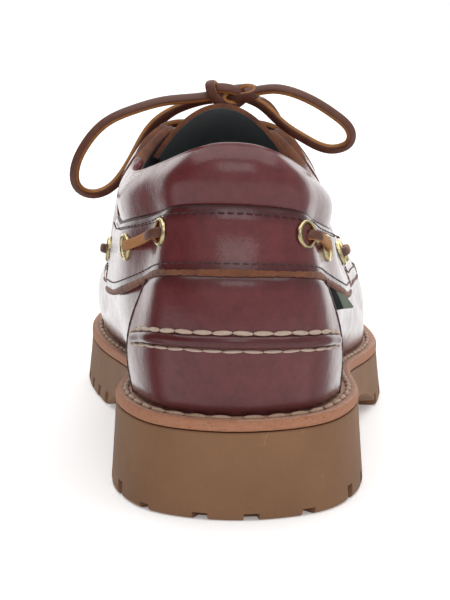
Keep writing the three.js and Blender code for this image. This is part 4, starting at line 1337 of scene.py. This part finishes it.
def arch_cutter(bm):
    bend = [(HEEL_FRONT + 0.5 + 2.5 * a, ARCH_HEIGHT - 2 + 2 * math.sin(a * math.pi / 2))
            for a in np.linspace(0, 1, 8)]
    slope = [(ARCH_SLOPE + (ARCH_END - ARCH_SLOPE) * a, ARCH_HEIGHT * (1 - a**2.2))
             for a in np.linspace(0, 1, 14)]
    outline_yz = [(HEEL_FRONT - 3, -OVERCUT), (HEEL_FRONT, 8)] + bend + slope + [(ARCH_END, -OVERCUT)]
    ring = [bm.verts.new(metres((-100, y, z))) for y, z in outline_yz]
    face = bm.faces.new(ring)
    grown = bmesh.ops.extrude_face_region(bm, geom=[face])
    moved = [v for v in grown["geom"] if isinstance(v, bmesh.types.BMVert)]
    bmesh.ops.translate(bm, verts=moved, vec=(0.2, 0, 0))


def cut_from(piece, bm):
    bmesh.ops.recalc_face_normals(bm, faces=bm.faces)
    mesh = mesh_of("cutter", bm)
    cutter = put_in_scene("cutter", mesh)
    taking = piece.modifiers.new("cut", "BOOLEAN")
    taking.operation = "DIFFERENCE"
    taking.solver = "EXACT"
    taking.object = cutter
    left = bpy.data.meshes.new_from_object(piece.evaluated_get(bpy.context.evaluated_depsgraph_get()))
    piece.modifiers.remove(taking)
    old = piece.data
    piece.data = left
    bpy.data.meshes.remove(old)
    bpy.data.objects.remove(cutter)
    bpy.data.meshes.remove(mesh)


for fill in (arch_cutter, slot_cutters, groove_cutters):
    cutter = bmesh.new()
    fill(cutter)
    cut_from(outsole, cutter)
cut_from(outsole, mapped(168, 4, channel_place, closed=True))
outsole.data.shade_smooth()
outsole.data.set_sharp_from_angle(angle=math.radians(32))
print("outsole after cutting", len(outsole.data.polygons), "faces")

# %% [markdown]
# ## Studio
# The photo has a white studio. A bright sweep stands beyond the toe, a dark flag on the left deepens that
# side of the heel, and the white table shows in the lower curves. A broad light hangs above, and a small soft
# one near the camera leaves the spots on the collar. The camera itself sees plain white.

# %% Floor
floor_finish, tree, where = new_finish("matt_white_sweep")
surface(tree, {
    "Base Color": blend(tree, noise(tree, where, 2, 2.0), "#fafafa", "#fdfdfd"), "Roughness": 0.9,
    "Emission Color": (1.0, 1.0, 1.0, 1.0), "Emission Strength": 0.24})
bm = bmesh.new()
bmesh.ops.create_grid(bm, x_segments=1, y_segments=1, size=3)
mesh = mesh_of("studio_floor", bm)
mesh.materials.append(floor_finish)
floor = put_in_scene("studio_floor", mesh)
floor.visible_glossy = False
print("floor at z", floor.location.z)

# %% Lights


def soft_box(name, place, target, width, height, radiance):
    """An area light whose brightness is given as radiance, so its size can change without its look."""
    data = bpy.data.lights.new(name, "AREA")
    data.shape = "RECTANGLE"
    data.size = width
    data.size_y = height
    data.energy = radiance * math.pi * width * height
    light = put_in_scene(name, data)
    light.location = place
    light.rotation_mode = "QUATERNION"
    light.rotation_quaternion = (Vector(target) - Vector(place)).to_track_quat("-Z", "Y")
    light.visible_camera = False


soft_box("overhead", place=(0, 0.8, 2.0), target=(0, 0.8, 0), width=3.4, height=4.4, radiance=1.25)
soft_box("near_camera", place=(0.02, -1.2, 0.75), target=(0, -0.1, 0.08), width=0.6, height=0.6, radiance=1.4)

# %% Surroundings
world = bpy.data.worlds.new("white_studio")
bpy.context.scene.world = world
world.use_nodes = True
tree = world.node_tree
tree.nodes.clear()
split = add(tree, "SeparateXYZ", {"Vector": add(tree, "TexCoord", {}).outputs["Generated"]})
x, y, z = (split.outputs[axis] for axis in "XYZ")


def combined(first, second, operation):
    return add(tree, "Math", {0: first, 1: second}, operation=operation).outputs[0]


flag = combined(ranged(tree, x, -0.8, -0.35, 0.85, 0.0), ranged(tree, y, 0.58, 0.76, 1.0, 0.0), "MULTIPLY")
sweep = combined(ranged(tree, flag, 0.0, 1.0, 1.0, 0.0), ranged(tree, y, 0.7, 0.82, 0.45, 1.5), "MULTIPLY")
table = combined(ranged(tree, z, -0.25, -0.06, 0.8, 0.0), ranged(tree, y, 0.0, 0.4, 1.0, 0.0), "MULTIPLY")
level = combined(sweep, table, "MAXIMUM")
seen = add(tree, "LightPath", {}).outputs["Is Camera Ray"]
white = add(tree, "Mix", {0: seen, 2: level, 3: 1.0}, data_type="FLOAT")
backdrop = add(tree, "Background", {"Color": (1.0, 1.0, 1.0, 1.0), "Strength": white.outputs[0]})
add(tree, "OutputWorld", {"Surface": backdrop.outputs[0]})
bpy.context.scene.view_settings.view_transform = "Standard"
print(len(bpy.data.lights), "lights")
